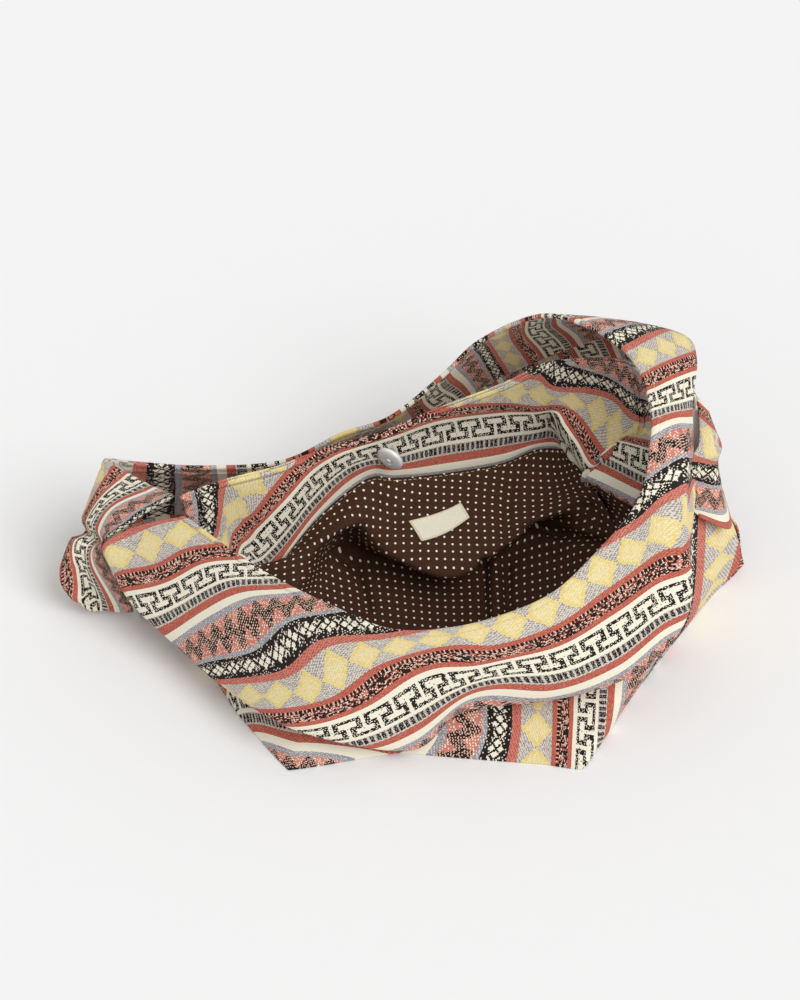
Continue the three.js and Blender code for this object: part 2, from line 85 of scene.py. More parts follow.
# Front: each column runs from the mouth's rim over the bulge to the hem:
# rim, upper front, lower front, lip of the fold, tuck under the lip, skirt, hem.
FRONT = [
    [(-138, 17, 95), (-158, 20, 87), (-177, 22, 76), (-191, 18, 66),
     (-186, 18, 48), (-179, 18, 26), (-170, 19, 3)],
    [(-110, -10, 94), (-133, -6, 85), (-154, -4, 68), (-173, -4, 42),
     (-168, 2, 30), (-156, 8, 16), (-142, 8, 3)],
    [(-83, -33, 93), (-103, -34, 82), (-124, -32, 58), (-142, -30, 27),
     (-138, -24, 18), (-128, -24, 10), (-122, -32, 3)],
    [(-49, -58, 95), (-72, -60, 82), (-97, -60, 54), (-117, -60, 26),
     (-106, -46, 21), (-104, -54, 11), (-105, -64, 3)],
    [(-11, -77, 92), (-30, -86, 76), (-50, -97, 53), (-67, -104, 30),
     (-54, -76, 25), (-64, -93, 14), (-72, -110, 3)],
    [(26, -78, 93), (18, -90, 76), (10, -99, 45), (3, -103, 11),
     (2, -91, 9), (0, -92, 6), (-4, -96, 3)],
    [(61, -71, 98), (54, -84, 80), (45, -93, 55), (36, -91, 33),
     (37, -81, 23), (41, -90, 12), (44, -101, 3)],
    [(92, -59, 106), (92, -72, 89), (92, -85, 65), (90, -85, 37),
     (86, -70, 27), (88, -87, 14), (86, -105, 3)],
    [(118, -35, 116), (123, -52, 100), (128, -68, 76), (131, -78, 46),
     (122, -60, 34), (122, -82, 16), (111, -109, 3)],
    [(139, -12, 127), (147, -30, 114), (155, -50, 92), (160, -64, 59),
     (150, -46, 42), (149, -47, 20), (144, -48, 3)],
    [(148, 4, 138), (160, -8, 128), (171, -24, 108), (177, -39, 77),
     (174, -22, 60), (184, -6, 32), (182, 14, 3)],
    [(152, 20, 150), (165, 16, 139), (174, 9, 122), (176, 4, 97),
     (182, 16, 84), (200, 28, 46), (201, 42, 3)],
    [(154, 40, 159), (169, 40, 150), (177, 38, 136), (178, 35, 113),
     (186, 44, 98), (208, 54, 56), (221, 67, 6)],
]
TUCK = 4  # the row of the tuck
HEM_ROW = 6
SKIRT_FROM = 3.75  # below this row another part of the cloth shows
FRONT_END = 11.985  # the front's last column, a hair before the strap's first
# Which band of the cloth lies at each point of the front, from the rim to the tuck, in millimetres.
FRONT_BANDS = [
    (-129, -130, -131, -130, -130),
    (-99, -99, -99, -80, -76),
    (-65, -51, -45, -38, -34),
    (-26, -20, -20, -2, 6),
    (-7, 11, 19, 46, 54),
    (4, 36, 63, 91, 96),
    (5, 27, 76, 96, 97),
    (6, 23, 61, 88, 98),
    (1, 22, 56, 92, 100),
    (-9, 14, 50, 98, 106),
    (-18, 2, 23, 66, 76),
    (-34, -16, 1, 11, 22),
    (-55, -39, -26, -9, 2),
]
# The same from the tuck to the hem.
SKIRT_BANDS = [
    (-60, -50, -40),
    (-30, -20, -10),
    (0, 5, 10),
    (32, 50, 64),
    (58, 73, 97),
    (74, 76, 78),
    (97, 100, 107),
    (140, 144, 142),
    (190, 195, 181),
    (225, 227, 229),
    (240, 254, 262),
    (247, 264, 272),
    (250, 268, 282),
]

# Strap: each column runs across it, from the edge that carries on from the front's rim to the other.
STRAP_RUN = [
    [(150, 62, 168), (167, 65, 160), (179, 66, 145), (180, 62, 121)],
    [(140, 83, 174), (165, 92, 167), (184, 103, 150), (160, 100, 119)],
    [(117, 108, 174), (144, 116, 168), (174, 125, 150), (154, 134, 112)],
    [(86, 130, 164), (103, 141, 150), (125, 155, 128), (143, 163, 92)],
    [(48, 139, 134), (52, 150, 114), (58, 158, 88), (66, 165, 56)],
    [(22, 132, 108), (22, 144, 86), (24, 152, 60), (28, 159, 30)],
    [(-10, 120, 84), (-12, 132, 64), (-12, 140, 38), (-10, 146, 10)],
    [(-42, 110, 78), (-44, 119, 57), (-45, 125, 32), (-44, 130, 6)],
    [(-80, 96, 67), (-80, 103, 47), (-80, 108, 26), (-80, 112, 5)],
    [(-131, 86, 72), (-131, 92, 50), (-131, 96, 27), (-131, 99, 5)],
    [(-170, 79, 82), (-174, 82, 56), (-178, 82, 30), (-174, 82, 5)],
    [(-192, 70, 92), (-204, 52, 66), (-219, 31, 28), (-206, 23, 11)],
    [(-164, 46, 95), (-190, 38, 76), (-209, 26, 44), (-190, 20, 6)],
    [(-143, 28, 101), (-166, 25, 84), (-190, 22, 64), (-172, 20, 5)],
]
STRAP_BANDS = [
    (-95, -78, -58, -35),
    (-125, -113, -98, -80),
    (-158, -147, -125, -110),
    (-215, -213, -211, -210),
    (-266, -268, -270, -272),
    (-303,) * 4,
    (-348,) * 4,
    (-371,) * 4,
    (-338,) * 4,
    (-287,) * 4,
    (-256,) * 4,
    (-248, -250, -236, -222),
    (-188, -176, -211, -182),
    (-130, -134, -131, -155),
]

# Creases of the strap at the left end: height, half width, and a line of places in x and in y plus z.
STRAP_CREASES = [
    (-7, 5, [(-214, 105), (-195, 90), (-186, 70)]),
    (-3.5, 4, [(-200, 87), (-206, 65), (-200, 36)]),
    (3, 5, [(-208, 90), (-214, 66), (-209, 40)]),
]
# The strap's inside is faced with two lengths of the same cloth, sewn side by side.
STRAP_INSIDE = [
    *STRAP_BANDS[:2],
    (-122, -110, -95, -90),
    (-195, -165, -150, -140),
    (-262, -265, -269, -275),
    (-312, -319, -335, -345),
    (-372, -379, -385, -390),
    *STRAP_BANDS[7:],
]
INSIDE_SEAM = 2.15  # the row of the strap's grid where the two lengths meet
INSIDE_STEP = -32.0  # how far the second length's bands lie from the first one's
STRAP_START = 1.015  # the strap's columns, where 1 is the front's last one
STRAP_END = len(STRAP_RUN) + 0.8

# Back, drawn as it is seen: picture column and row, depth in millimetres, and band of the cloth.
# Each column runs from the rim down the facing to its lower edge. A pleat stands at the right.
BACK_SEEN = [
    [(183, 497, 27, -28), (186, 504, 26, -27), (188, 512, 25, -26), (191, 520, 24, -25), (194, 528, 22, -24),
     (197, 536, 20, -22), (201, 545, 18, -20)],
    [(205, 489, 37, -13), (208, 497, 36, -12), (211, 506, 34, -11), (214, 517, 32, -8), (218, 530, 30, -2),
     (224, 545, 27, 12), (234, 560, 24, 30)],
    [(226, 482, 44, -1), (229, 495, 43, 3), (232, 509, 41, 8), (235, 524, 38, 17), (239, 540, 34, 34),
     (246, 557, 30, 54), (254, 573, 27, 80)],
    [(248, 476, 51, 9), (252, 494, 48, 15), (256, 512, 44, 23), (259, 529, 40, 42), (262, 546, 36, 54),
     (267, 563, 32, 71), (272, 577, 30, 88)],
    [(280, 468, 59, 17), (281, 474, 58, 20), (283, 484, 55, 27), (287, 502, 50, 43), (288, 518, 47, 54),
     (289, 537, 45, 70), (291, 550, 44, 88)],
    [(307, 457, 68, 24), (308, 461, 67, 27), (310, 465, 67, 33), (314, 472, 66, 43), (314, 486, 64, 54),
     (315, 502, 62, 68), (317, 519, 60, 88)],
    [(334, 447, 76, 28), (336, 449, 76, 32), (338, 452, 76, 37), (341, 455, 75, 43), (343, 464, 75, 54),
     (345, 475, 75, 70), (347, 492, 74, 88)],
    [(362, 441, 81, 32), (363, 443, 81, 35), (364, 445, 81, 39), (365, 447, 81, 43), (368, 455, 81, 54),
     (370, 463, 81, 69), (372, 477, 81, 88)],
    [(390, 432, 84, 33), (391, 435, 84, 35), (391, 437, 84, 38), (391, 439, 84, 43), (392, 450, 85, 54),
     (393, 461, 85, 68), (395, 478, 85, 88)],
    [(439, 411, 97, 24), (439, 414, 97, 28), (439, 419, 97, 37), (439, 423, 97, 43), (439, 434, 98, 54),
     (439, 454, 97, 71), (440, 474, 96, 88)],
    [(500, 388, 107, 5), (500, 396, 108, 14), (500, 404, 108, 23), (500, 414, 109, 42), (500, 425, 109, 54),
     (500, 446, 108, 72), (500, 464, 106, 88)],
    [(535, 371, 112, -7), (535, 392, 113, 10), (535, 408, 112, 24), (535, 413, 111, 42), (535, 423, 111, 55),
     (535, 440, 111, 72), (535, 450, 110, 88)],
    [(552, 364, 114, -14), (555, 388, 112, -3), (562, 406, 107, 23), (555, 412, 101, 43), (550, 421, 106, 55),
     (554, 437, 108, 71), (560, 449, 106, 86)],
    [(577, 361, 113, -24), (587, 391, 108, -2), (580, 418, 100, 23), (564, 426, 92, 43), (560, 431, 98, 50),
     (560, 438, 103, 58), (565, 451, 103, 66)],
    [(600, 360, 109, -33), (612, 399, 100, -1), (592, 436, 90, 23), (576, 443, 82, 43), (571, 448, 88, 50),
     (572, 455, 94, 58), (575, 464, 95, 66)],
    [(620, 361, 102, -38), (630, 415, 86, -2), (606, 452, 76, 23), (592, 467, 70, 43), (587, 471, 76, 50),
     (587, 476, 82, 58), (589, 484, 84, 64)],
    [(630, 364, 96, -42), (643, 423, 79, 0), (624, 439, 77, 24), (616, 445, 76, 43), (606, 454, 75, 54),
     (596, 466, 74, 71), (591, 483, 71, 90)],
    [(634, 366, 94, -44), (646, 424, 78, 2), (627, 437, 75, 24), (620, 442, 74, 44), (611, 450, 73, 55),
     (599, 463, 72, 73), (592, 484, 68, 94)],
    [(652, 375, 80, -50), (662, 432, 60, 12), (657, 447, 56, 29), (655, 452, 55, 44), (651, 469, 52, 56),
     (645, 486, 48, 73), (638, 510, 42, 99)],
]
BACK_END = len(BACK_SEEN) - 1  # its last column
# Below the facing, the back goes on to the hem: lower back and hem for columns further apart.
BACK_LOWER = [
    [(-150, 22, 32), (-150, 24, 3)],
    [(-108, 44, 30), (-112, 46, 3)],
    [(-76, 56, 30), (-80, 54, 3)],
    [(-40, 74, 32), (-42, 70, 3)],
    [(-12, 90, 32), (-12, 86, 3)],
    [(22, 104, 30), (22, 98, 3)],
    [(60, 114, 28), (60, 107, 3)],
    [(98, 118, 32), (100, 112, 3)],
    [(136, 96, 40), (138, 104, 3)],
    [(162, 84, 44), (166, 96, 3)],
    [(190, 70, 48), (200, 78, 3)],
    [(204, 56, 55), (218.5, 68, 3)],
]
LOWER_BANDS = (40.0, 70.0)  # how far on in the cloth they are from the facing's lower edge
PLEAT = slice(13, 16)  # the back's columns in the pleat
PLEAT_FOOT = 90.0  # the band of the cloth at the pleat's foot, as on both sides of it
# Where the back's own columns lie among those.
BACK_LOWER_AT = [0, 0.4, 0.8, 1.3, 1.9, 2.5, 3, 3.5, 4.1, 5, 6, 6.7, 7.2, 8, 8.7, 9.4, 9.8, 10.1, 11]

# Lining: each column runs down the slouched back wall, over the bottom and up behind the front.
LINING_RUN = [
    [(-122, 14, 48), (-128, 8, 44), (-133, 4, 46), (-137, 0, 52), (-139, -3, 60), (-141, -5, 68)],
    [(-98, 24, 42), (-99, 15, 30), (-99, 5, 22), (-96, -8, 18), (-94, -20, 18), (-94, -26, 34)],
    [(-68, 34, 44), (-68, 20, 34), (-70, 8, 24), (-66, -12, 15), (-66, -34, 12), (-72, -46, 30)],
    [(-36, 50, 54), (-40, 62, 34), (-40, 58, 13), (-36, -4, 7), (-36, -50, 7), (-46, -62, 28)],
    [(-12, 60, 50), (-10, 36, 40), (-8, 56, 15), (-4, 0, 7), (-2, -62, 7), (-12, -76, 28)],
    [(30, 62, 47), (30, 21, 37), (30, 46, 13), (30, 0, 7), (32, -62, 7), (28, -78, 28)],
    [(64, 74, 48), (63, 45, 40), (64, 62, 18), (66, 6, 8), (66, -54, 8), (64, -70, 32)],
    [(94, 84, 50), (94, 66, 47), (95, 74, 26), (94, 10, 12), (94, -40, 12), (92, -58, 36)],
    [(120, 68, 66), (119, 64, 50), (116, 44, 28), (116, 8, 20), (116, -20, 22), (118, -38, 44)],
    [(140, 40, 56), (138, 24, 40), (138, 10, 26), (138, -2, 20), (138, -12, 26), (142, -22, 52)],
    [(166, 30, 90), (165, 22, 82), (165, 14, 82), (165, 8, 90), (166, 8, 102), (168, 12, 116)],
]
# Creases of the lining: height, half width, and a line of places in x and in y plus z.
LINING_CREASES = [
    (-4, 4, [(-44, 80), (-32, 66), (-24, 30)]),
    (4, 5, [(58, 70), (58, 40), (59, 4)]),
    (-4, 3, [(51, 72), (51, 40), (52, 4)]),
    (-4, 3, [(66, 66), (66, 40), (67, 6)]),
    (-7, 4, [(80, 103), (104, 95), (126, 86)]),
    (-3, 4, [(69, 144), (66, 118), (64, 96)]),
    (-2, 3, [(2, 122), (12, 132)]),
    (-2, 4, [(-12, 126), (-4, 104)]),
]
LINING_FOLD = 2.05  # below this row the lining is laid out afresh, hidden under its overhang
# Columns of the back and the front where the lining's columns start and end.
LINING_ON_BACK = [1.4, 2.3, 3.9, 5.6, 7.9, 9.2, 10.3, 11.6, 13, 14.6, 17.8]
LINING_ON_FRONT = [0.95, 1.3, 2.2, 3.1, 4.2, 5.2, 6.2, 7.2, 8.4, 9.6, 11.1]
FACING_FOOT_FRONT = 1.5  # rows of the front and the back at the facings' lower edges
FACING_FOOT_BACK = 6
FOOT_STEPS = 20  # points to a column along those edges

# Strap tail: where it starts on the bag's right end, which way it runs and which way it faces.
TAIL_START = (179.0, 102, 131)
TAIL_DOWN = (0.02, -0.05, -0.99)
TAIL_TURN = 0.19
TAIL_WIDTH = 40.0
TAIL = 2.0  # its thickness
# Down the tail and outwards, in millimetres.
TAIL_LINE = [(-6.5, -1.2), (0, 0), (37, 0), (68, 0), (74, 0), (88.4, 4), (98, 10)]
TAIL_BANDS = (52, -52)  # the bands at its start and its end

# Lap of the strap over the slider, drawn as it is seen: each column runs down it. The last column,
# behind the slider, is drawn in millimetres.
LAP_SEEN = [
    [(699, 399, 74, 43), (701, 425, 72, 14), (700, 446, 68, 4), (692, 459, 60, -3), (691, 479, 40, -19),
     (693, 505, 27, -38), (702, 516, 20, -52)],
    [(708, 408, 84, 43), (716, 430, 82, 22), (722, 447, 78, 22), (718, 463, 64, -5), (721, 487, 44, -21),
     (724, 507, 40, -38), (731, 527, 34, -53)],
]
LAP_BEHIND = [
    (184, 106, 118, 43), (189, 106, 104, 22), (192, 104, 92, 14), (193, 102, 84, -5), (197, 98, 70, -21),
    (201, 92, 58, -38), (206, 86, 48, -53),
]

LABEL_AT = (4.84, 1.06)  # the label's middle, in columns and rows of the lining
LABEL_SIZE = (36.0, 16.0)
LABEL_TURN = 0.45
SNAP_RADIUS = 9.0  # in millimetres
SNAP_LEAN = (-0.5, -0.85, -0.17)  # which way the round half of the snap faces
# Rings of the snap from its edge inwards: width of the ring and its rise, in metres.
SNAP_STEPS = ((0.0008, 0.0007), (0.0016, 0.0005), (0.0022, 0.0003), (0.0012, 0.0001), (0.0003, -0.0013),
              (0.0008, 0.0), (0.0003, 0.0018))
SNAP_PLATE = 0.0018  # thickness of its plate, in metres
SNAP_BEVEL = 0.00025
SNAP_OUT = 0.001  # from the middle of its place to the middle of its plate

# Sewn edges, in millimetres.
RIM_FULL = 1.4  # how much thicker the front is at its turned rim
RIM_ROLL = 1.0  # how far the turned edge of the mouth stands out
ROLL_AT = 1.6
ROLL_WIDTH = 1.4
RIM_STITCH = 4.2  # from the mouth's edge to its stitches
RIM_GROOVE = (0.5, 0.9)  # depth and width of what the stitches press in
EDGE_STITCH = 5.0  # from the strap's edges to their stitches
EDGE_GROOVE = (0.6, 1.1)
SEAM_STITCH = 1.6  # from the lining's edge to its stitches
STITCH_PITCH = 3.6
STITCH_LENGTH = 2.7
STITCH_RADIUS = 0.3
STITCH_BEND = 1.04  # from a stitch's middle to where it starts to dip into the cloth
STITCH_DIP = 0.24
STITCH_LIFT = 0.1
TINY = 1e-12  # keeps a division from failing


# Shapes

def placed(points):
    """Drawn millimetres to metres in the frame."""
    points = np.asarray(points, float)
    out = points.copy()
    out[..., 0] = points[..., 0] + SHIFT_X
    out[..., 1] = points[..., 1] + SHIFT_Y
    out[..., 2] = HEM + (points[..., 2] - DRAWN_HEM) * RISE
    out[..., :3] *= 0.001
    return out


def seen(column, row, depth):
    """The drawn point that shows at a place of the picture, at a depth along y."""
    toward = np.array([0.0, math.cos(VIEW_ELEVATION), -math.sin(VIEW_ELEVATION)])
    upward = np.array([0.0, math.sin(VIEW_ELEVATION), math.cos(VIEW_ELEVATION)])
    eye = np.array(VIEW_TARGET) - toward * VIEW_DISTANCE
    line = toward + upward * (PICTURE[1] / 2 - row) / VIEW_FOCUS
    line[0] += (column - PICTURE[0] / 2) / VIEW_FOCUS
    return eye + line * (depth - eye[1]) / line[1]


def curve(points, at):
    """A smooth curve through points (along the first axis), read at places counted in points."""
    points = np.asarray(points, float)
    at = np.asarray(at, float)
    ends = np.concatenate([[2 * points[0] - points[1]], points, [2 * points[-1] - points[-2]]])
    step = np.clip(np.floor(at).astype(int), 0, len(points) - 2)
    t = (at - step).reshape((-1,) + (1,) * (points.ndim - 1))
    p, q, r, s = ends[step], ends[step + 1], ends[step + 2], ends[step + 3]
    square = 2 * p - 5 * q + 4 * r - s
    cube = 3 * q - 3 * r + s - p
    return 0.5 * (2 * q + (r - p) * t + square * t ** 2 + cube * t ** 3)


def curve_down(grid, rows):
    """The columns of a grid as smooth curves, read at rows."""
    return np.swapaxes(curve(np.swapaxes(grid, 0, 1), rows), 0, 1)


def loft(grid, columns, rows):
    """A smooth surface through a grid of columns, read at columns by rows."""
    return curve(curve_down(np.asarray(grid, float), rows), columns)


def loft_bands(bands, columns, rows):
    """The band of the cloth at each point of a surface."""
    return loft(np.asarray(bands, float)[..., None], columns, rows)[..., 0]


def straight(line, at):
    """A line that runs straight between its points, read at places counted in points."""
    return np.stack([np.interp(at, np.arange(len(line)), part) for part in line.T], axis=1)


def normals(points, side):
    """Directions away from a surface, on the side given as 1 or -1."""
    across = np.gradient(points, axis=0)
    down = np.gradient(points, axis=1)
    out = np.cross(across, down) * side
    return out / np.maximum(np.linalg.norm(out, axis=2, keepdims=True), TINY)


def lengths(points, axis):
    """Distance run along an axis of a grid of points."""
    steps = np.linalg.norm(np.diff(points, axis=axis), axis=2)
    zero = np.zeros_like(np.take(steps, [0], axis=axis))
    return np.concatenate([zero, np.cumsum(steps, axis=axis)], axis=axis)


def settle(goal_across, goal_down, weight_across=1.0, weight_down=1.0):
    """Values on a grid whose differences come closest to the goals, by conjugate gradients."""
    shape = (goal_across.shape[0] + 1, goal_across.shape[1])

    def gather(across, down):
        across = across * weight_across
        down = down * weight_down
        out = np.zeros(shape)
        out[1:] += across
        out[:-1] -= across
        out[:, 1:] += down
        out[:, :-1] -= down
        return out

    value = np.zeros(shape)
    rest = gather(goal_across, goal_down)
    way = rest.copy()
    size = (rest * rest).sum()
    most_steps = 1200
    near_enough = 1e-11
    for _ in range(most_steps):
        pushed = gather(np.diff(way, axis=0), np.diff(way, axis=1))
        step = size / max((way * pushed).sum(), 1e-18)
        value += step * way
        rest -= step * pushed
        fresh = (rest * rest).sum()
        if fresh < near_enough:
            break
        way = rest + way * (fresh / size)
        size = fresh
    return value


def along_bands(points, normal, band):
    """Distance along the bands in millimetres, so that the woven figures keep their size."""
    across = np.gradient(points, axis=0)
    down = np.gradient(points, axis=1)
    rise_across = np.gradient(band, axis=0)
    rise_down = np.gradient(band, axis=1)
    e = (across * across).sum(2)
    f = (across * down).sum(2)
    g = (down * down).sum(2)
    slope = across * (g * rise_across - f * rise_down)[..., None]
    slope += down * (e * rise_down - f * rise_across)[..., None]
    way = np.cross(normal, slope)
    way /= np.maximum(np.linalg.norm(way, axis=2, keepdims=True), TINY)
    goals = []
    weights = []
    for axis, between in ((0, (way[1:] + way[:-1]) / 2), (1, (way[:, 1:] + way[:, :-1]) / 2)):
        step = np.diff(points, axis=axis)
        goal = (step * between).sum(2)
        share = goal / np.maximum(np.linalg.norm(step, axis=2), TINY)
        goals.append(goal)
        weights.append(share * share + SHEAR)
    return settle(*goals, *weights) * 1000


def woven(points, normal, band):
    """Place in the cloth of each point: along its bands and across them, in millimetres."""
    return np.stack([along_bands(points, normal, band), band], axis=2)


def cloth(name, points, normal, thickness, fabric, lower_fabric=None, split=0, inner_fabric=None):
    """A closed sheet with rounded edges. Its outer face is points, and fabric is its place in the cloth.

    Below the row of a split, another part of the cloth shows. An inner face may have cloth of its own,
    and then the split is on that face alone.
    """
    across, down = points.shape[:2]
    thick = np.broadcast_to(np.asarray(thickness, float), (across, down))[..., None] / 1000
    inner = points - normal * thick
    ring = [(i, 0) for i in range(across)] + [(across - 1, j) for j in range(1, down)]
    ring += [(i, down - 1) for i in range(across - 2, -1, -1)] + [(0, j) for j in range(down - 2, 0, -1)]
    ring = np.array(ring)
    i, j = ring[:, 0], ring[:, 1]
    near_i = np.where(i == 0, 1, np.where(i == across - 1, across - 2, i))
    near_j = np.where(j == 0, 1, np.where(j == down - 1, down - 2, j))
    outward = points[i, j] - points[near_i, near_j]
    outward -= normal[i, j] * (outward * normal[i, j]).sum(1, keepdims=True)
    outward /= np.maximum(np.linalg.norm(outward, axis=1, keepdims=True), TINY)
    half = thick[i, j] / 2
    middle = points[i, j] - normal[i, j] * half
    turns = 4
    rings = []
    ring_fabric = []
    step = np.linalg.norm(points[i, j] - points[near_i, near_j], axis=1, keepdims=True)
    slope = (fabric[i, j] - fabric[near_i, near_j]) / np.maximum(step, 1e-9)
    for k in range(1, turns):
        angle = math.pi * k / turns
        rings.append(middle + half * (normal[i, j] * math.cos(angle) + outward * math.sin(angle)))
        ring_fabric.append(fabric[i, j] + slope * half * min(angle, math.pi - angle))
    places = np.concatenate([points.reshape(-1, 3), inner.reshape(-1, 3), *rings])
    count = across * down
    index = np.arange(count).reshape(across, down)
    a, b, c, d = index[:-1, :-1], index[1:, :-1], index[1:, 1:], index[:-1, 1:]
    outer_faces = np.stack([a, b, c, d], axis=2).reshape(-1, 4)
    inner_faces = outer_faces[:, ::-1] + count
    edge = [index[i, j]]
    edge += [2 * count + k * len(ring) + np.arange(len(ring)) for k in range(turns - 1)]
    edge.append(index[i, j] + count)
    strips = []
    for first, second in zip(edge[:-1], edge[1:]):
        strips.append(np.stack([first, second, np.roll(second, -1), np.roll(first, -1)], axis=1))
    faces = np.concatenate([outer_faces, inner_faces, *strips])
    mesh = bpy.data.meshes.new(name)
    mesh.from_pydata(places.tolist(), [], faces.tolist())
    owner = np.concatenate([np.arange(count), np.arange(count), *[index[i, j]] * (turns - 1)])
    flat = np.concatenate([fabric.reshape(-1, 2), fabric.reshape(-1, 2), *ring_fabric])
    corner = owner[faces]
    values = flat[faces]
    inside = np.zeros(len(faces), bool)
    inside[len(outer_faces):2 * len(outer_faces)] = True
    if inner_fabric is not None:
        values[inside] = inner_fabric.reshape(-1, 2)[corner[inside]]
    if lower_fabric is not None:
        low = (corner % down).max(1) > split
        if inner_fabric is not None:
            low &= inside
        values[low] = lower_fabric.reshape(-1, 2)[corner[low]]
    layer = mesh.uv_layers.new(name="fabric")
    layer.data.foreach_set("uv", values.reshape(-1).astype(np.float32))
    mesh.polygons.foreach_set("use_smooth", np.ones(len(faces), bool))
    shape = bmesh.new()
    shape.from_mesh(mesh)
    bmesh.ops.recalc_face_normals(shape, faces=shape.faces)
    shape.to_mesh(mesh)
    shape.free()
    piece = bpy.data.objects.new(name, mesh)
    bpy.context.scene.collection.objects.link(piece)
    return piece


def finished(piece, material, slot, *nodes):
    """Gives a piece its material and its place on the bag, for the nodes that it stands for."""
    piece.data.materials.clear()
    piece.data.materials.append(material)
    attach(piece, "bag")
    if nodes:
        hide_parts(*nodes)


# Materials

class Signal:
    """A value in a material that takes plain arithmetic."""

    def __init__(self, tree, socket):
        self.tree = tree
        self.socket = socket

    def make(self, operation, *others):
        node = self.tree.nodes.new("ShaderNodeMath")
        node.operation = operation
        for place, value in enumerate((self,) + others):
            if isinstance(value, Signal):
                self.tree.links.new(value.socket, node.inputs[place])
            else:
                node.inputs[place].default_value = value
        return Signal(self.tree, node.outputs[0])

    __add__ = partialmethod(make, "ADD")
    __sub__ = partialmethod(make, "SUBTRACT")
    __mul__ = partialmethod(make, "MULTIPLY")
    __truediv__ = partialmethod(make, "DIVIDE")
    __mod__ = partialmethod(make, "FLOORED_MODULO")
    __abs__ = partialmethod(make, "ABSOLUTE")
    floor = partialmethod(make, "FLOOR")
    sine = partialmethod(make, "SINE")
    below = partialmethod(make, "LESS_THAN")
    above = partialmethod(make, "GREATER_THAN")
    larger = partialmethod(make, "MAXIMUM")

    def between(self, low, high):
        return self.above(low) * self.below(high)


def shade(red, green, blue):
    """A colour as it shows, to the linear value that a shader takes."""
    linear = []
    for value in (red, green, blue):
        value /= 255
        linear.append(value / 12.92 if value <= 0.04045 else ((value + 0.055) / 1.055) ** 2.4)
    return (*linear, 1.0)


CREAM = shade(252, 245, 224)
RED = shade(180, 88, 72)
LIGHT_RED = shade(214, 128, 108)
PINK = shade(214, 134, 118)
PALE_PINK = shade(230, 190, 170)
GREY = shade(158, 152, 152)
PALE_GREY = shade(226, 216, 200)
BLUE_GREY = shade(156, 156, 166)
YELLOW = shade(238, 214, 132)
PALE_YELLOW = shade(244, 232, 196)
BLACK = shade(32, 27, 25)
# Used only for painted shade in the grooves between the jacquard's threads.
SHADE_BROWN = shade(84, 62, 54)

# Bands of the cloth in their order: start, ground, its second thread and its share,
# figure, its second thread and its share.
BANDS = [
    (0, GREY, PALE_GREY, 0.55, YELLOW, PALE_YELLOW, 0.25),
    (21, RED, LIGHT_RED, 0.4, RED, RED, 0.0),
    (25, LIGHT_RED, CREAM, 0.32, BLACK, BLACK, 0.0),
    (36, RED, LIGHT_RED, 0.4, RED, RED, 0.0),
    (40, CREAM, CREAM, 0.0, CREAM, CREAM, 0.0),
    (44, BLACK, CREAM, 0.26, CREAM, BLACK, 0.1),
    (62, CREAM, CREAM, 0.0, CREAM, CREAM, 0.0),
    (64, PALE_GREY, GREY, 0.35, BLACK, GREY, 0.3),
    (72, RED, LIGHT_RED, 0.4, RED, RED, 0.0),
    (78, CREAM, CREAM, 0.0, CREAM, CREAM, 0.0),
    (84, BLUE_GREY, PALE_GREY, 0.3, GREY, GREY, 0.0),
    (88, PINK, CREAM, 0.26, BLACK, PALE_PINK, 0.36),
    (105, BLUE_GREY, PALE_GREY, 0.3, GREY, GREY, 0.0),
    (108, BLACK, PALE_GREY, 0.2, CREAM, BLACK, 0.1),
    (122, RED, PINK, 0.6, PINK, PINK, 0.0),
]


def new_material(name, roughness=0.5, specular=0.5, metallic=0.0):
    """A material, its nodes and its shader."""
    material = bpy.data.materials.new(name)
    material.use_nodes = True
    tree = material.node_tree
    shader = tree.nodes["Principled BSDF"]
    shader.inputs["Roughness"].default_value = roughness
    shader.inputs["Specular IOR Level"].default_value = specular
    shader.inputs["Metallic"].default_value = metallic
    return material, tree, shader


def fabric_place(tree):
    """The two fabric coordinates of a piece, in millimetres."""
    place = tree.nodes.new("ShaderNodeUVMap")
    place.uv_map = "fabric"
    parts = tree.nodes.new("ShaderNodeSeparateXYZ")
    tree.links.new(place.outputs[0], parts.inputs[0])
    return Signal(tree, parts.outputs[0]), Signal(tree, parts.outputs[1])


def chance(tree, first, second):
    """A fixed random value for each cell of the weave."""
    both = tree.nodes.new("ShaderNodeCombineXYZ")
    tree.links.new(first.socket, both.inputs[0])
    tree.links.new(second.socket, both.inputs[1])
    noise = tree.nodes.new("ShaderNodeTexWhiteNoise")
    noise.noise_dimensions = "2D"
    tree.links.new(both.outputs[0], noise.inputs[0])
    return Signal(tree, noise.outputs[0])


def band_ramp(tree, place, column):
    """Steps of colour or share across the bands."""
    ramp = tree.nodes.new("ShaderNodeValToRGB")
    ramp.color_ramp.interpolation = "CONSTANT"
    steps = ramp.color_ramp.elements
    for k, band in enumerate(BANDS):
        step = steps[k] if k < 2 else steps.new(band[0] / REPEAT)
        step.position = band[0] / REPEAT
        value = band[column]
        step.color = value if isinstance(value, tuple) else (value, value, value, 1.0)
    tree.links.new(place.socket, ramp.inputs[0])
    return ramp.outputs[0]


def mixed(tree, share, first, second):
    """The first colour, and the second by its share."""
    node = tree.nodes.new("ShaderNodeMix")
    node.data_type = "RGBA"
    tree.links.new(share.socket, node.inputs[0])
    for socket, value in ((node.inputs[6], first), (node.inputs[7], second)):
        if isinstance(value, tuple):
            socket.default_value = value
        else:
            tree.links.new(value, socket)
    return node.outputs[2]


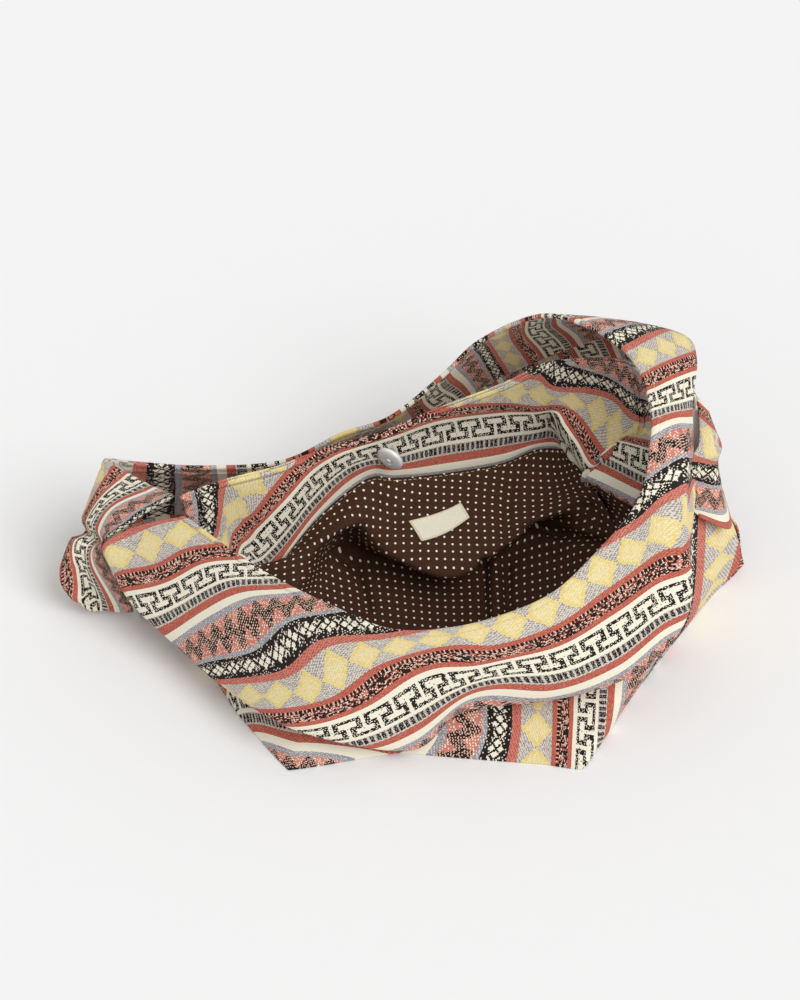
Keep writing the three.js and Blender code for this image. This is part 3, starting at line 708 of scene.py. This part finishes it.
def bumped(tree, shader, height, strength, distance):
    """Relief on a material, with its depth in metres."""
    bump = tree.nodes.new("ShaderNodeBump")
    bump.inputs["Strength"].default_value = strength
    bump.inputs["Distance"].default_value = distance
    tree.links.new(height.socket, bump.inputs["Height"])
    tree.links.new(bump.outputs[0], shader.inputs["Normal"])


def thread_relief(u, v, thread):
    """Each thread crossing stands up as a small round hill."""
    turn = math.pi / thread
    return abs((u * turn).sine()) * abs((v * turn).sine())


# Woven figures: how far apart each kind stands along its band, in millimetres.
DIAMONDS = 19.0
STROKES = 2.4
MEANDERS = 17.0
DASHES = 3.2
ZIGZAGS = 12.0
LEAVES = 11.5
JAGS = 3.83  # of a leaf's edge


def jacquard_material():
    """Bands of woven figures: diamonds, speckle, meander, dashes, zigzag and leaves.

    Every thread has one place, x along the bands and y across them, where y counts as in BANDS.
    """
    material, tree, shader = new_material("jacquard", roughness=0.92, specular=0.15)
    shader.inputs["Sheen Weight"].default_value = 0.05
    u, v = fabric_place(tree)
    weft = (u / THREAD).floor()
    warp = (v / THREAD).floor()
    x = (weft + 0.5) * THREAD
    y = (warp + 0.5) * THREAD % REPEAT
    grain = chance(tree, weft, warp)
    half = DIAMONDS / 2
    from_middle = abs(x % DIAMONDS - half) / half + abs(y - 10.5) / 10.5
    diamond = from_middle.below(1) * y.below(21)
    heart = from_middle.below(0.72) * y.below(21)
    strokes = (x % STROKES).below(1.5) * y.between(25, 28)
    blot = chance(tree, (u / 1.2).floor(), (v / 1.0).floor())
    speckle = (blot * 0.7 + grain * 0.3).above(0.45) * y.between(28, 36)
    half = MEANDERS / 2
    stem = MEANDERS / 4
    stem_width = 1.0
    bar_reach = 4.7
    hanging = abs(x % MEANDERS - stem).below(stem_width) * y.between(43, 56)
    low_bar = abs((x + stem) % MEANDERS - half).below(bar_reach) * y.between(54.8, 59.3)
    rising = abs(x % MEANDERS - 3 * stem).below(stem_width) * y.between(51, 63)
    high_bar = abs((x - stem) % MEANDERS - half).below(bar_reach) * y.between(47.2, 51.9)
    meander = (hanging + low_bar + rising + high_bar).above(0.5) * y.between(44, 62)
    dashes = (x % DASHES).below(2.1) * y.between(65.2, 71.4)
    wave = abs(x % ZIGZAGS - ZIGZAGS / 2) * 1.67 - 5
    zigzag = (abs(wave - (y - 96.5)) + grain * 1.4).below(5.7) * y.between(88, 105)
    half = LEAVES / 2
    from_vein = abs(y - 115)
    from_cross = abs((x + half) % LEAVES - half)
    crossed = abs(from_cross - from_vein).above(1.05) * abs(from_cross + from_vein - half).above(0.6)
    jag = abs(x % JAGS - 1.9) * 1.5
    leaf = (from_vein + jag + grain * 0.8).below(5.0) * crossed * y.between(108, 122)
    figure = diamond + strokes + speckle + meander + dashes + zigzag + leaf
    place = y / REPEAT
    satin = (weft * 0.7549 + warp * 0.5698) % 1
    thread = grain * 0.25 + satin * 0.75
    ground_share = Signal(tree, band_ramp(tree, place, 3))
    figure_share = Signal(tree, band_ramp(tree, place, 6)) + heart * 0.25
    ground_second = ground_share.above(thread)
    figure_second = figure_share.above(thread)
    ground = mixed(tree, ground_second, band_ramp(tree, place, 1), band_ramp(tree, place, 2))
    drawn = mixed(tree, figure_second, band_ramp(tree, place, 4), band_ramp(tree, place, 5))
    colour = mixed(tree, figure, ground, drawn)
    relief = thread_relief(u, v, THREAD)
    # Painted shade: the colour is mixed a little towards brown where the thread relief is low, in the grooves
    # between the threads, as if shade fell there.
    shade_between_threads = 0.12
    wear_and_shade = mixed(tree, relief * -shade_between_threads + shade_between_threads, colour, SHADE_BROWN)
    tree.links.new(wear_and_shade, shader.inputs["Base Color"])
    bumped(tree, shader, relief + figure * 0.4, 0.5, 0.0003)
    return material


def lining_material():
    """Brown cotton with small off-white dots."""
    material, tree, shader = new_material("dotted_lining", roughness=0.8, specular=0.25)
    u, v = fabric_place(tree)
    pitch = 5.3
    radius = 0.72
    thread = 0.45
    away_u = u % pitch - pitch / 2
    away_v = v % pitch - pitch / 2
    dot = (away_u * away_u + away_v * away_v).below(radius ** 2)
    weave = chance(tree, (u / thread).floor(), (v / thread).floor())
    brown = mixed(tree, weave, shade(58, 32, 18), shade(68, 39, 23))
    colour = mixed(tree, dot, brown, shade(246, 240, 222))
    tree.links.new(colour, shader.inputs["Base Color"])
    bumped(tree, shader, thread_relief(u, v, thread) + dot * 0.6, 0.3, 0.0002)
    return material


def label_material():
    """A woven cream label with a darker edge."""
    material, tree, shader = new_material("label_cloth", roughness=0.85)
    u, v = fabric_place(tree)
    rib = 0.7
    end_edge = LABEL_SIZE[0] / 2 - 1.4
    long_edge = LABEL_SIZE[1] / 2 - 1.0
    weave = chance(tree, (u / 0.35).floor(), (v / 0.5).floor())
    edge = abs(v).above(long_edge).larger(abs(u).above(end_edge))
    cream = mixed(tree, weave, shade(240, 234, 214), shade(228, 221, 198))
    colour = mixed(tree, edge * 0.5, cream, shade(206, 190, 150))
    tree.links.new(colour, shader.inputs["Base Color"])
    bumped(tree, shader, abs((u * (math.pi / rib)).sine()), 0.4, 0.0002)
    return material


def uneven(tree, scale, detail):
    """Soft unevenness that keeps its place on the piece."""
    place = tree.nodes.new("ShaderNodeTexCoord")
    noise = tree.nodes.new("ShaderNodeTexNoise")
    noise.inputs["Scale"].default_value = scale
    noise.inputs["Detail"].default_value = detail
    tree.links.new(place.outputs["Object"], noise.inputs["Vector"])
    return Signal(tree, noise.outputs[0])


def metal_material(name, metallic, tones, marks, roughness, bump):
    """Plated metal with faint marks, which change its tone and add to its roughness."""
    material, tree, shader = new_material(name, metallic=metallic)
    wear_and_shade = uneven(tree, *marks)
    tree.links.new(mixed(tree, wear_and_shade, *tones), shader.inputs["Base Color"])
    smoothest, added = roughness
    tree.links.new((wear_and_shade * added + smoothest).socket, shader.inputs["Roughness"])
    bumped(tree, shader, wear_and_shade, *bump)
    return material


def thread_material():
    """Sewing thread, slightly uneven in tone."""
    material, tree, shader = new_material("sewing_thread", roughness=0.7)
    tone = uneven(tree, 900, 2)
    colour = mixed(tree, tone, shade(226, 212, 178), shade(176, 150, 112))
    tree.links.new(colour, shader.inputs["Base Color"])
    bumped(tree, shader, tone, 0.2, 0.0002)
    return material


def floor_material():
    material, tree, shader = new_material("pale_floor", roughness=0.95, specular=0.0)
    colour = mixed(tree, uneven(tree, 60, 3), shade(244, 244, 244), shade(243, 243, 243))
    tree.links.new(colour, shader.inputs["Base Color"])
    return material


JACQUARD_CLOTH = jacquard_material()
LINING_CLOTH = lining_material()
LABEL_CLOTH = label_material()
NICKEL = metal_material(
    "nickel",
    metallic=1.0,
    tones=(shade(222, 222, 220), shade(204, 204, 204)),
    marks=(420, 4),
    roughness=(0.16, 0.16),
    bump=(0.08, 0.0004),
)
SILVER = metal_material(
    "satin_silver",
    metallic=0.1,
    tones=(shade(246, 246, 244), shade(232, 232, 230)),
    marks=(520, 3),
    roughness=(0.32, 0.1),
    bump=(0.05, 0.0003),
)
THREAD_COTTON = thread_material()


# Pieces

# One more column leads the front on into the strap, so that the two meet smoothly.
front_grid = np.array(FRONT, float)
front_grid[:, HEM_ROW, 2] = FLOOR_HEM
strap_grid = np.array(STRAP_RUN, float)
ahead = 2 * front_grid[-1] - front_grid[-2]
ahead[:TUCK] = strap_grid[0]
front_shape = np.concatenate([front_grid, [ahead]])
front_bands = np.array([*FRONT_BANDS, (*STRAP_BANDS[0], -28)], float)
skirt_bands = np.array(SKIRT_BANDS, float)
skirt_bands = np.concatenate([skirt_bands, [2 * skirt_bands[-1] - skirt_bands[-2]]])


def pressed(distance, at, depth, width):
    """Height of a soft ridge, or depth of a groove, at a distance from an edge, in metres."""
    return 0.001 * depth * np.exp(-((distance - at) / width) ** 2)


def turned_edge(distance):
    """How far an edge that is turned in and sewn stands out, in metres."""
    roll = pressed(distance, ROLL_AT, RIM_ROLL, ROLL_WIDTH)
    return roll - pressed(distance, RIM_STITCH, *RIM_GROOVE)


def sewn_line(points, normal, distance, far=False):
    """Places and directions of a seam that keeps a distance in millimetres from a sheet's edge."""
    both = np.concatenate([points, normal], axis=2)
    if far:
        both = both[:, ::-1]
    run = lengths(both[..., :3], 1) * 1000
    line = np.zeros((len(both), 6))
    for i, reach in enumerate(run):
        line[i] = [np.interp(distance, reach, part) for part in both[i].T]
    return line


def cornered(line, at):
    """A hem that runs straight between its points, with its corners a little softened."""
    softness = 0.15
    return (1 - softness) * straight(line, at) + softness * curve(line, at)


def front_panel():
    """The front, whose skirt below the tuck has bands of its own."""
    columns = np.linspace(0, FRONT_END, 169)
    rows = np.concatenate([np.linspace(0, 0.36, 13), np.linspace(0.42, HEM_ROW, 94)])
    surface = loft(front_shape, columns, rows)
    folded = cornered(front_shape[:, HEM_ROW], columns) - surface[:, -1]
    below_tuck = np.clip((rows - TUCK) / (HEM_ROW - TUCK), 0, 1)
    surface += folded[:, None] * below_tuck[None, :, None] ** 2
    points = placed(surface)
    normal = normals(points, -1)
    split = int(np.searchsorted(rows, SKIRT_FROM))
    from_skirt = np.maximum(rows - TUCK, rows[split - 1] - TUCK)
    upper = loft_bands(front_bands, columns, np.minimum(rows, TUCK))
    lower = loft_bands(skirt_bands, columns, from_skirt)
    fabrics = []
    for band, part in ((upper, slice(0, split + 2)), (lower, slice(split - 1, None))):
        along = np.zeros(band.shape)
        along[:, part] = along_bands(points[:, part], normal[:, part], band[:, part])
        fabrics.append(np.stack([along / FRONT_STRETCH, band], axis=2))
    from_rim = lengths(points, 1) * 1000
    thick = JACQUARD + RIM_FULL * np.exp(-(from_rim / ROLL_AT) ** 2)
    points = points + normal * turned_edge(from_rim)[..., None]
    piece = cloth("front_panel_cloth", points, normal, thick, *fabrics, split)
    finished(piece, JACQUARD_CLOTH, "jacquard", "front_panel")
    return points, normal


front_points, front_normal = front_panel()


def creased(points, creases):
    """Points moved along their normals by creases drawn in x and in y plus z."""
    lean = normals(points, -1)
    flat = np.stack([points[..., 0], points[..., 1] + points[..., 2]], axis=2)
    height = np.zeros(points.shape[:2])
    for rise, width, line in creases:
        away = np.full(points.shape[:2], 1e9)
        for start, end in zip(np.array(line[:-1], float), np.array(line[1:], float)):
            way = end - start
            share = np.clip((flat - start) @ way / (way @ way), 0, 1)
            away = np.minimum(away, np.linalg.norm(flat - start - share[..., None] * way, axis=2))
        height += rise * np.exp(-(away / width) ** 2)
    return points + lean * height[..., None]


def strap():
    """The strap, whose inside has a seam along it."""
    before = slice(11, 13)  # the front's last two columns lead into it
    across = slice(0, TUCK)  # as far as the lip
    grid = np.concatenate([front_grid[before, across], strap_grid])
    bands = np.concatenate([front_bands[before, across], STRAP_BANDS])
    inner_bands = np.concatenate([front_bands[before, across], STRAP_INSIDE])
    columns = np.linspace(STRAP_START, STRAP_END, 190)
    edge = np.linspace(0, 0.34, 12)
    rows = np.concatenate([edge, np.linspace(0.42, 2.58, 30), 3 - edge[::-1]])
    points = placed(creased(loft(grid, columns, rows), STRAP_CREASES))
    normal = normals(points, -1)
    run = lengths(points, 1) * 1000
    fabric = np.stack([run, loft_bands(bands, columns, rows)], axis=2)
    inner_fabric = woven(points, normal, loft_bands(inner_bands, columns, rows))
    second_fabric = inner_fabric + np.array([0.0, INSIDE_STEP])
    seam = int(np.searchsorted(rows, INSIDE_SEAM))
    groove = pressed(run, EDGE_STITCH, *EDGE_GROOVE)
    groove += pressed(run[:, -1:] - run, EDGE_STITCH, *EDGE_GROOVE)
    points = points - normal * groove[..., None]
    piece = cloth("strap_cloth", points, normal, STRAP, fabric, second_fabric, seam, inner_fabric)
    finished(piece, JACQUARD_CLOTH, "jacquard", "strap")
    return points, normal


strap_points, strap_normal = strap()


def all_seen(columns):
    """Drawn points with their bands, for columns drawn as they are seen."""
    return np.array([[(*seen(*place), band) for *place, band in column] for column in columns])


back_grid = all_seen(BACK_SEEN)
lower_back = curve(np.array(BACK_LOWER, float), BACK_LOWER_AT)
lower_back[:, 1, 2] = FLOOR_HEM
foot_bands = back_grid[:, -1:, 3:].copy()
foot_bands[PLEAT] = PLEAT_FOOT
lower_back = np.concatenate([lower_back, foot_bands + np.array(LOWER_BANDS)[None, :, None]], axis=2)
whole_back = np.concatenate([back_grid, lower_back], axis=1)


def back_panel():
    surface = loft(whole_back, np.linspace(0, BACK_END, 217), np.linspace(0, 8, 81))
    points = placed(surface)[..., :3]
    normal = normals(points, 1)
    points = points + normal * BACK_OFF / 1000
    piece = cloth("back_panel_cloth", points, normal, JACQUARD, woven(points, normal, surface[..., 3]))
    finished(piece, JACQUARD_CLOTH, "jacquard", "back_panel")


back_panel()


def back_facing():
    surface = loft(whole_back, np.linspace(0.6, BACK_END, 262), np.linspace(0.03, FACING_FOOT_BACK, 100))
    points = placed(surface)[..., :3]
    normal = normals(points, -1)
    fabric = woven(points, normal, surface[..., 3])
    points = points + normal * turned_edge(lengths(points, 1) * 1000)[..., None]
    piece = cloth("back_facing_cloth", points, normal, FACING, fabric)
    finished(piece, JACQUARD_CLOTH, "jacquard", "back_facing")
    return points, normal


facing_points, facing_normal = back_facing()


def front_facing():
    columns = np.linspace(0.9, 11.2, 120)
    rows = np.linspace(0.06, FACING_FOOT_FRONT, 24)
    points = placed(loft(front_shape, columns, rows))
    normal = normals(points, 1)
    points = points + normal * FRONT_FACING_OFF / 1000
    fabric = woven(points, normal, loft_bands(front_bands, columns, rows))
    piece = cloth("front_facing_cloth", points, normal, FACING, fabric)
    finished(piece, JACQUARD_CLOTH, "jacquard", "front_facing")


front_facing()


def facing_foot(grid, columns, rows, side, lift):
    """Points along the foot of a facing, lifted off it, from three rows that lie close together."""
    fine = loft(grid, np.arange(columns * FOOT_STEPS + 1) / FOOT_STEPS, rows)[..., :3]
    return fine[:, 1] + normals(fine, side)[:, 1] * lift


back_rows = FACING_FOOT_BACK + np.array([-0.02, 0, 0.02])
back_foot = facing_foot(whole_back, BACK_END, back_rows, side=-1, lift=0.4)
front_rows = FACING_FOOT_FRONT + np.array([0, 0.035, 0.07])
front_foot = facing_foot(front_shape, len(FRONT) - 1, front_rows, side=1, lift=4.0)


def lining_points(columns, rows):
    """The lining hangs from the foot of one facing to the foot of the other."""
    at = np.asarray(columns, float)
    order = np.arange(len(LINING_RUN))
    back_edge = straight(back_foot, np.interp(at, order, LINING_ON_BACK) * FOOT_STEPS)
    front_edge = straight(front_foot, np.interp(at, order, LINING_ON_FRONT) * FOOT_STEPS)
    middle = curve(np.array(LINING_RUN, float), at)
    return curve_down(np.concatenate([back_edge[:, None], middle, front_edge[:, None]], axis=1), rows)


def lining():
    """The lining, whose dots are laid out afresh below its fold."""
    columns = np.linspace(0, len(LINING_RUN) - 1, 201)
    rows = np.linspace(0, 7, 161)
    points = placed(creased(lining_points(columns, rows), LINING_CREASES))
    normal = normals(points, -1)
    points = points + normal * LINING_OFF / 1000
    run = np.gradient(points, axis=1)
    run /= np.linalg.norm(run, axis=2, keepdims=True)
    side = np.cross(run, normal)
    fold = int(np.searchsorted(rows, LINING_FOLD))

    def along(way, part):
        places = points[:, part]
        way = way[:, part]
        goal_across = (np.diff(places, axis=0) * (way[1:] + way[:-1]) / 2).sum(2)
        goal_down = (np.diff(places, axis=1) * (way[:, 1:] + way[:, :-1]) / 2).sum(2)
        laid = np.zeros(points.shape[:2])
        laid[:, part] = settle(goal_across, goal_down) * 1000
        return laid

    above = slice(0, fold + 2)
    below = slice(fold - 1, None)
    fabric = np.stack([along(side, above), along(run, above)], axis=2)
    lower_fabric = np.stack([along(side, below), along(run, below)], axis=2)
    piece = cloth("lining_cloth", points, normal, LINING, fabric, lower_fabric, fold)
    finished(piece, LINING_CLOTH, "lining", "lining")
    return points, normal


lining_face, lining_normal = lining()


def label():
    """A bare label on the lining's back wall."""
    across = np.linspace(-LABEL_SIZE[0] / 2, LABEL_SIZE[0] / 2, 25)
    down = np.linspace(-LABEL_SIZE[1] / 2, LABEL_SIZE[1] / 2, 13)
    step = 0.05
    column, row = LABEL_AT
    near = lining_points([column, column + step], [row, row + step])
    per_column = np.linalg.norm(near[1, 0] - near[0, 0]) / step
    per_row = np.linalg.norm(near[0, 1] - near[0, 0]) / step
    x, y = np.meshgrid(across, down, indexing="ij")
    turned_x = x * math.cos(LABEL_TURN) - y * math.sin(LABEL_TURN)
    turned_y = x * math.sin(LABEL_TURN) + y * math.cos(LABEL_TURN)
    points = np.zeros(x.shape + (3,))
    for i in range(x.shape[0]):
        for j in range(x.shape[1]):
            at = lining_points([column + turned_x[i, j] / per_column], [row - turned_y[i, j] / per_row])
            points[i, j] = at[0, 0]
    points = placed(points)
    normal = normals(points, 1)
    points = points + normal * LABEL_OFF / 1000
    piece = cloth("label_cloth", points, normal, LABEL, np.stack([x, y], axis=2))
    finished(piece, LABEL_CLOTH, "label", "label")


label()


def strap_tail():
    down = np.array(TAIL_DOWN)
    down /= np.linalg.norm(down)
    out = np.array([math.cos(TAIL_TURN), math.sin(TAIL_TURN), 0])
    out -= down * (out @ down)
    out /= np.linalg.norm(out)
    side = np.cross(down, out)
    line = curve(np.array(TAIL_LINE, float), np.linspace(0, len(TAIL_LINE) - 1, 61))
    across = np.linspace(-TAIL_WIDTH / 2, TAIL_WIDTH / 2, 31)
    points = line[:, None, :1] * down + line[:, None, 1:] * out + across[None, :, None] * side
    points = placed(TAIL_START) + points / 1000
    normal = normals(points, 1)
    if normal[30, 15] @ out < 0:
        normal = -normal
    points = points + normal * TAIL / 2000
    run = lengths(points, 0) * 1000
    band = TAIL_BANDS[0] + (TAIL_BANDS[1] - TAIL_BANDS[0]) * run / run.max()
    fabric = np.stack([np.broadcast_to(across, band.shape), band], axis=2)
    piece = cloth("strap_tail_cloth", points, normal, TAIL, fabric)
    finished(piece, JACQUARD_CLOTH, "jacquard", "strap_tail")


strap_tail()


def strap_lap():
    """The end of the strap that laps over the slider."""
    grid = np.concatenate([all_seen(LAP_SEEN), [LAP_BEHIND]])
    surface = loft(grid, np.linspace(0, 2, 49), np.linspace(0, 6, 85))
    points = placed(surface)[..., :3]
    normal = normals(points, 1)
    if normal[24, 42, 0] < 0:
        normal = -normal
    band = surface[..., 3]
    fabric = np.stack([lengths(points, 0) * 1000, band], axis=2)
    piece = cloth("strap_lap_cloth", points, normal, LAP, fabric)
    finished(piece, JACQUARD_CLOTH, "jacquard")


strap_lap()


def base_panel():
    """The cloth that the bag lies on, between the hems of its front and its back."""
    inset = 0.02
    columns = np.linspace(inset, 1 - inset, 97)
    front_hem = cornered(front_grid[:, HEM_ROW], columns * (len(FRONT) - 1))
    back_hem = curve(lower_back[:, 1, :3], columns * BACK_END)
    share = np.linspace(inset, 1 - inset, 25)[None, :, None]
    points = placed(front_hem[:, None] * (1 - share) + back_hem[:, None] * share)
    points[..., 2] = BASE_LIFT / 1000
    normal = np.zeros_like(points)
    normal[..., 2] = -1
    fabric = np.stack([points[..., 0] * 1000, points[..., 1] * 1000], axis=2)
    piece = cloth("base_panel_cloth", points, normal, JACQUARD, fabric)
    finished(piece, JACQUARD_CLOTH, "jacquard", "base_panel")


base_panel()


def one_stitch():
    """A short length of thread whose ends dip into the cloth: its points and faces."""
    bpy.ops.mesh.primitive_uv_sphere_add(segments=6, ring_count=5, radius=1, rotation=(0, math.pi / 2, 0))
    bpy.ops.object.transform_apply(rotation=True)
    bpy.ops.object.mode_set(mode="EDIT")
    bpy.ops.mesh.select_all(action="SELECT")
    bpy.ops.transform.resize(value=(STITCH_LENGTH / 2000, STITCH_RADIUS / 1000, STITCH_RADIUS / 1000))
    bpy.ops.object.mode_set(mode="OBJECT")
    thread = bpy.context.object
    for corner in thread.data.vertices:
        corner.select = abs(corner.co.x) > STITCH_BEND / 1000
    bpy.ops.object.mode_set(mode="EDIT")
    bpy.ops.transform.translate(value=(0, 0, -STITCH_DIP / 1000))
    bpy.ops.object.mode_set(mode="OBJECT")
    points = np.array([tuple(corner.co) for corner in thread.data.vertices])
    faces = [tuple(face.vertices) for face in thread.data.polygons]
    bpy.data.objects.remove(thread)
    return points, faces


STITCH_POINTS, STITCH_FACES = one_stitch()


def stitches(name, line):
    """A row of stitches along a sewn line."""
    run = np.concatenate([[0], np.cumsum(np.linalg.norm(np.diff(line[:, :3], axis=0), axis=1))])
    at = np.arange(STITCH_PITCH / 2000, run[-1], STITCH_PITCH / 1000)
    half = STITCH_LENGTH / 2000

    def read(places):
        return np.stack([np.interp(places, run, line[:, k]) for k in range(6)], axis=1)

    middle = read(at)
    way = read(at + half)[:, :3] - read(at - half)[:, :3]
    way /= np.linalg.norm(way, axis=1, keepdims=True)
    side = np.cross(middle[:, 3:], way)
    side /= np.linalg.norm(side, axis=1, keepdims=True)
    up = np.cross(way, side)
    x, y, z = STITCH_POINTS[None, :, :1], STITCH_POINTS[None, :, 1:2], STITCH_POINTS[None, :, 2:]
    z = z + STITCH_LIFT / 1000
    places = middle[:, None, :3] + x * way[:, None] + y * side[:, None] + z * up[:, None]
    faces = []
    for k in range(len(at)):
        faces += [tuple(corner + k * len(STITCH_POINTS) for corner in face) for face in STITCH_FACES]
    mesh = bpy.data.meshes.new(name)
    mesh.from_pydata(places.reshape(-1, 3).tolist(), [], faces)
    mesh.polygons.foreach_set("use_smooth", np.ones(len(faces), bool))
    piece = bpy.data.objects.new(name, mesh)
    bpy.context.scene.collection.objects.link(piece)
    finished(piece, THREAD_COTTON, "jacquard")


stitches("front_rim_stitches", sewn_line(front_points, front_normal, RIM_STITCH))
stitches("back_rim_stitches", sewn_line(facing_points, facing_normal, RIM_STITCH))
stitches("strap_inner_stitches", sewn_line(strap_points, strap_normal, EDGE_STITCH))
stitches("strap_outer_stitches", sewn_line(strap_points, strap_normal, EDGE_STITCH, far=True))
stitches("lining_seam_stitches", sewn_line(lining_face, lining_normal, SEAM_STITCH))


def snap_socket():
    """The round half of the magnetic snap that shows, tilted with the cloth it is riveted to."""
    bpy.ops.object.select_all(action="DESELECT")
    bpy.ops.mesh.primitive_cylinder_add(vertices=48, radius=SNAP_RADIUS / 1000, depth=SNAP_PLATE)
    disc = bpy.context.object
    disc.name = "snap_socket_disc"
    bpy.ops.object.mode_set(mode="EDIT")
    bpy.ops.mesh.select_mode(type="FACE")
    for inset, rise in SNAP_STEPS:
        bpy.ops.object.mode_set(mode="OBJECT")
        highest = max(disc.data.polygons, key=lambda face: (face.normal.z, len(face.vertices)))
        for face in disc.data.polygons:
            face.select = face.index == highest.index
        bpy.ops.object.mode_set(mode="EDIT")
        bpy.ops.mesh.inset(thickness=inset)
        bpy.ops.transform.translate(value=(0, 0, rise))
    bpy.ops.object.mode_set(mode="OBJECT")
    bevel = disc.modifiers.new("soft_edges", "BEVEL")
    bevel.width = SNAP_BEVEL
    bevel.segments = 3
    bevel.limit_method = "ANGLE"
    bpy.ops.object.modifier_apply(modifier="soft_edges")
    bpy.ops.object.shade_smooth_by_angle(angle=math.radians(40))
    low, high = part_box("snap_socket")
    middle = (Vector(low) + Vector(high)) / 2
    lean = Vector(SNAP_LEAN).normalized()
    turn = lean.to_track_quat("Z", "Y").to_matrix().to_4x4()
    disc.data.transform(Matrix.Translation(middle + lean * SNAP_OUT) @ turn)
    finished(disc, SILVER, "metal", "snap_socket")


snap_socket()

METAL = {"snap_stud": SILVER, "slider": SILVER, "socket_washer": NICKEL, "stud_washer": NICKEL}
for name, plating in METAL.items():
    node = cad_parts[name]
    node.data.materials.clear()
    node.data.materials.append(plating)


# Floor, light and camera

SKY = 0.6  # even light from all round
SUN = 1.7
SUN_FROM = (0.48, -0.46, 0.75)
SUN_WIDTH = math.radians(40)
FLOOR = 60.0  # in metres
FILM = 36.0  # width of the camera's film, in millimetres


def studio():
    bpy.ops.mesh.primitive_plane_add(size=FLOOR, location=(0, 0, 0))
    floor = bpy.context.object
    floor.name = "floor"
    floor.data.materials.append(floor_material())
    world = bpy.data.worlds.new("studio")
    world.use_nodes = True
    bpy.context.scene.world = world
    tree = world.node_tree
    sky = tree.nodes["Background"]
    sky.inputs[0].default_value = (1, 1, 1, 1)
    rays = tree.nodes.new("ShaderNodeLightPath")
    by_camera = Signal(tree, rays.outputs["Is Camera Ray"])
    shown = by_camera.larger(Signal(tree, rays.outputs["Is Glossy Ray"]))
    tree.links.new((shown * (1 - SKY) + SKY).socket, sky.inputs[1])
    lamp = bpy.data.lights.new("key", "SUN")
    lamp.energy = SUN
    lamp.angle = SUN_WIDTH
    key = bpy.data.objects.new("key", lamp)
    key.rotation_mode = "QUATERNION"
    key.rotation_quaternion = Vector(SUN_FROM).to_track_quat("Z", "Y")
    bpy.context.scene.collection.objects.link(key)


studio()


def camera():
    lens = bpy.data.cameras.new("camera")
    lens.sensor_width = FILM
    lens.lens = VIEW_FOCUS * FILM / PICTURE[1]
    eye = bpy.data.objects.new("camera", lens)
    target = Vector(placed(VIEW_TARGET))
    back = Vector((0, -math.cos(VIEW_ELEVATION), math.sin(VIEW_ELEVATION)))
    eye.location = target + back * VIEW_DISTANCE / 1000
    eye.rotation_mode = "QUATERNION"
    eye.rotation_quaternion = back.to_track_quat("Z", "Y")
    lens.clip_end = 100
    bpy.context.scene.collection.objects.link(eye)
    bpy.context.scene.camera = eye


camera()

bpy.context.scene.view_settings.view_transform = "Standard"
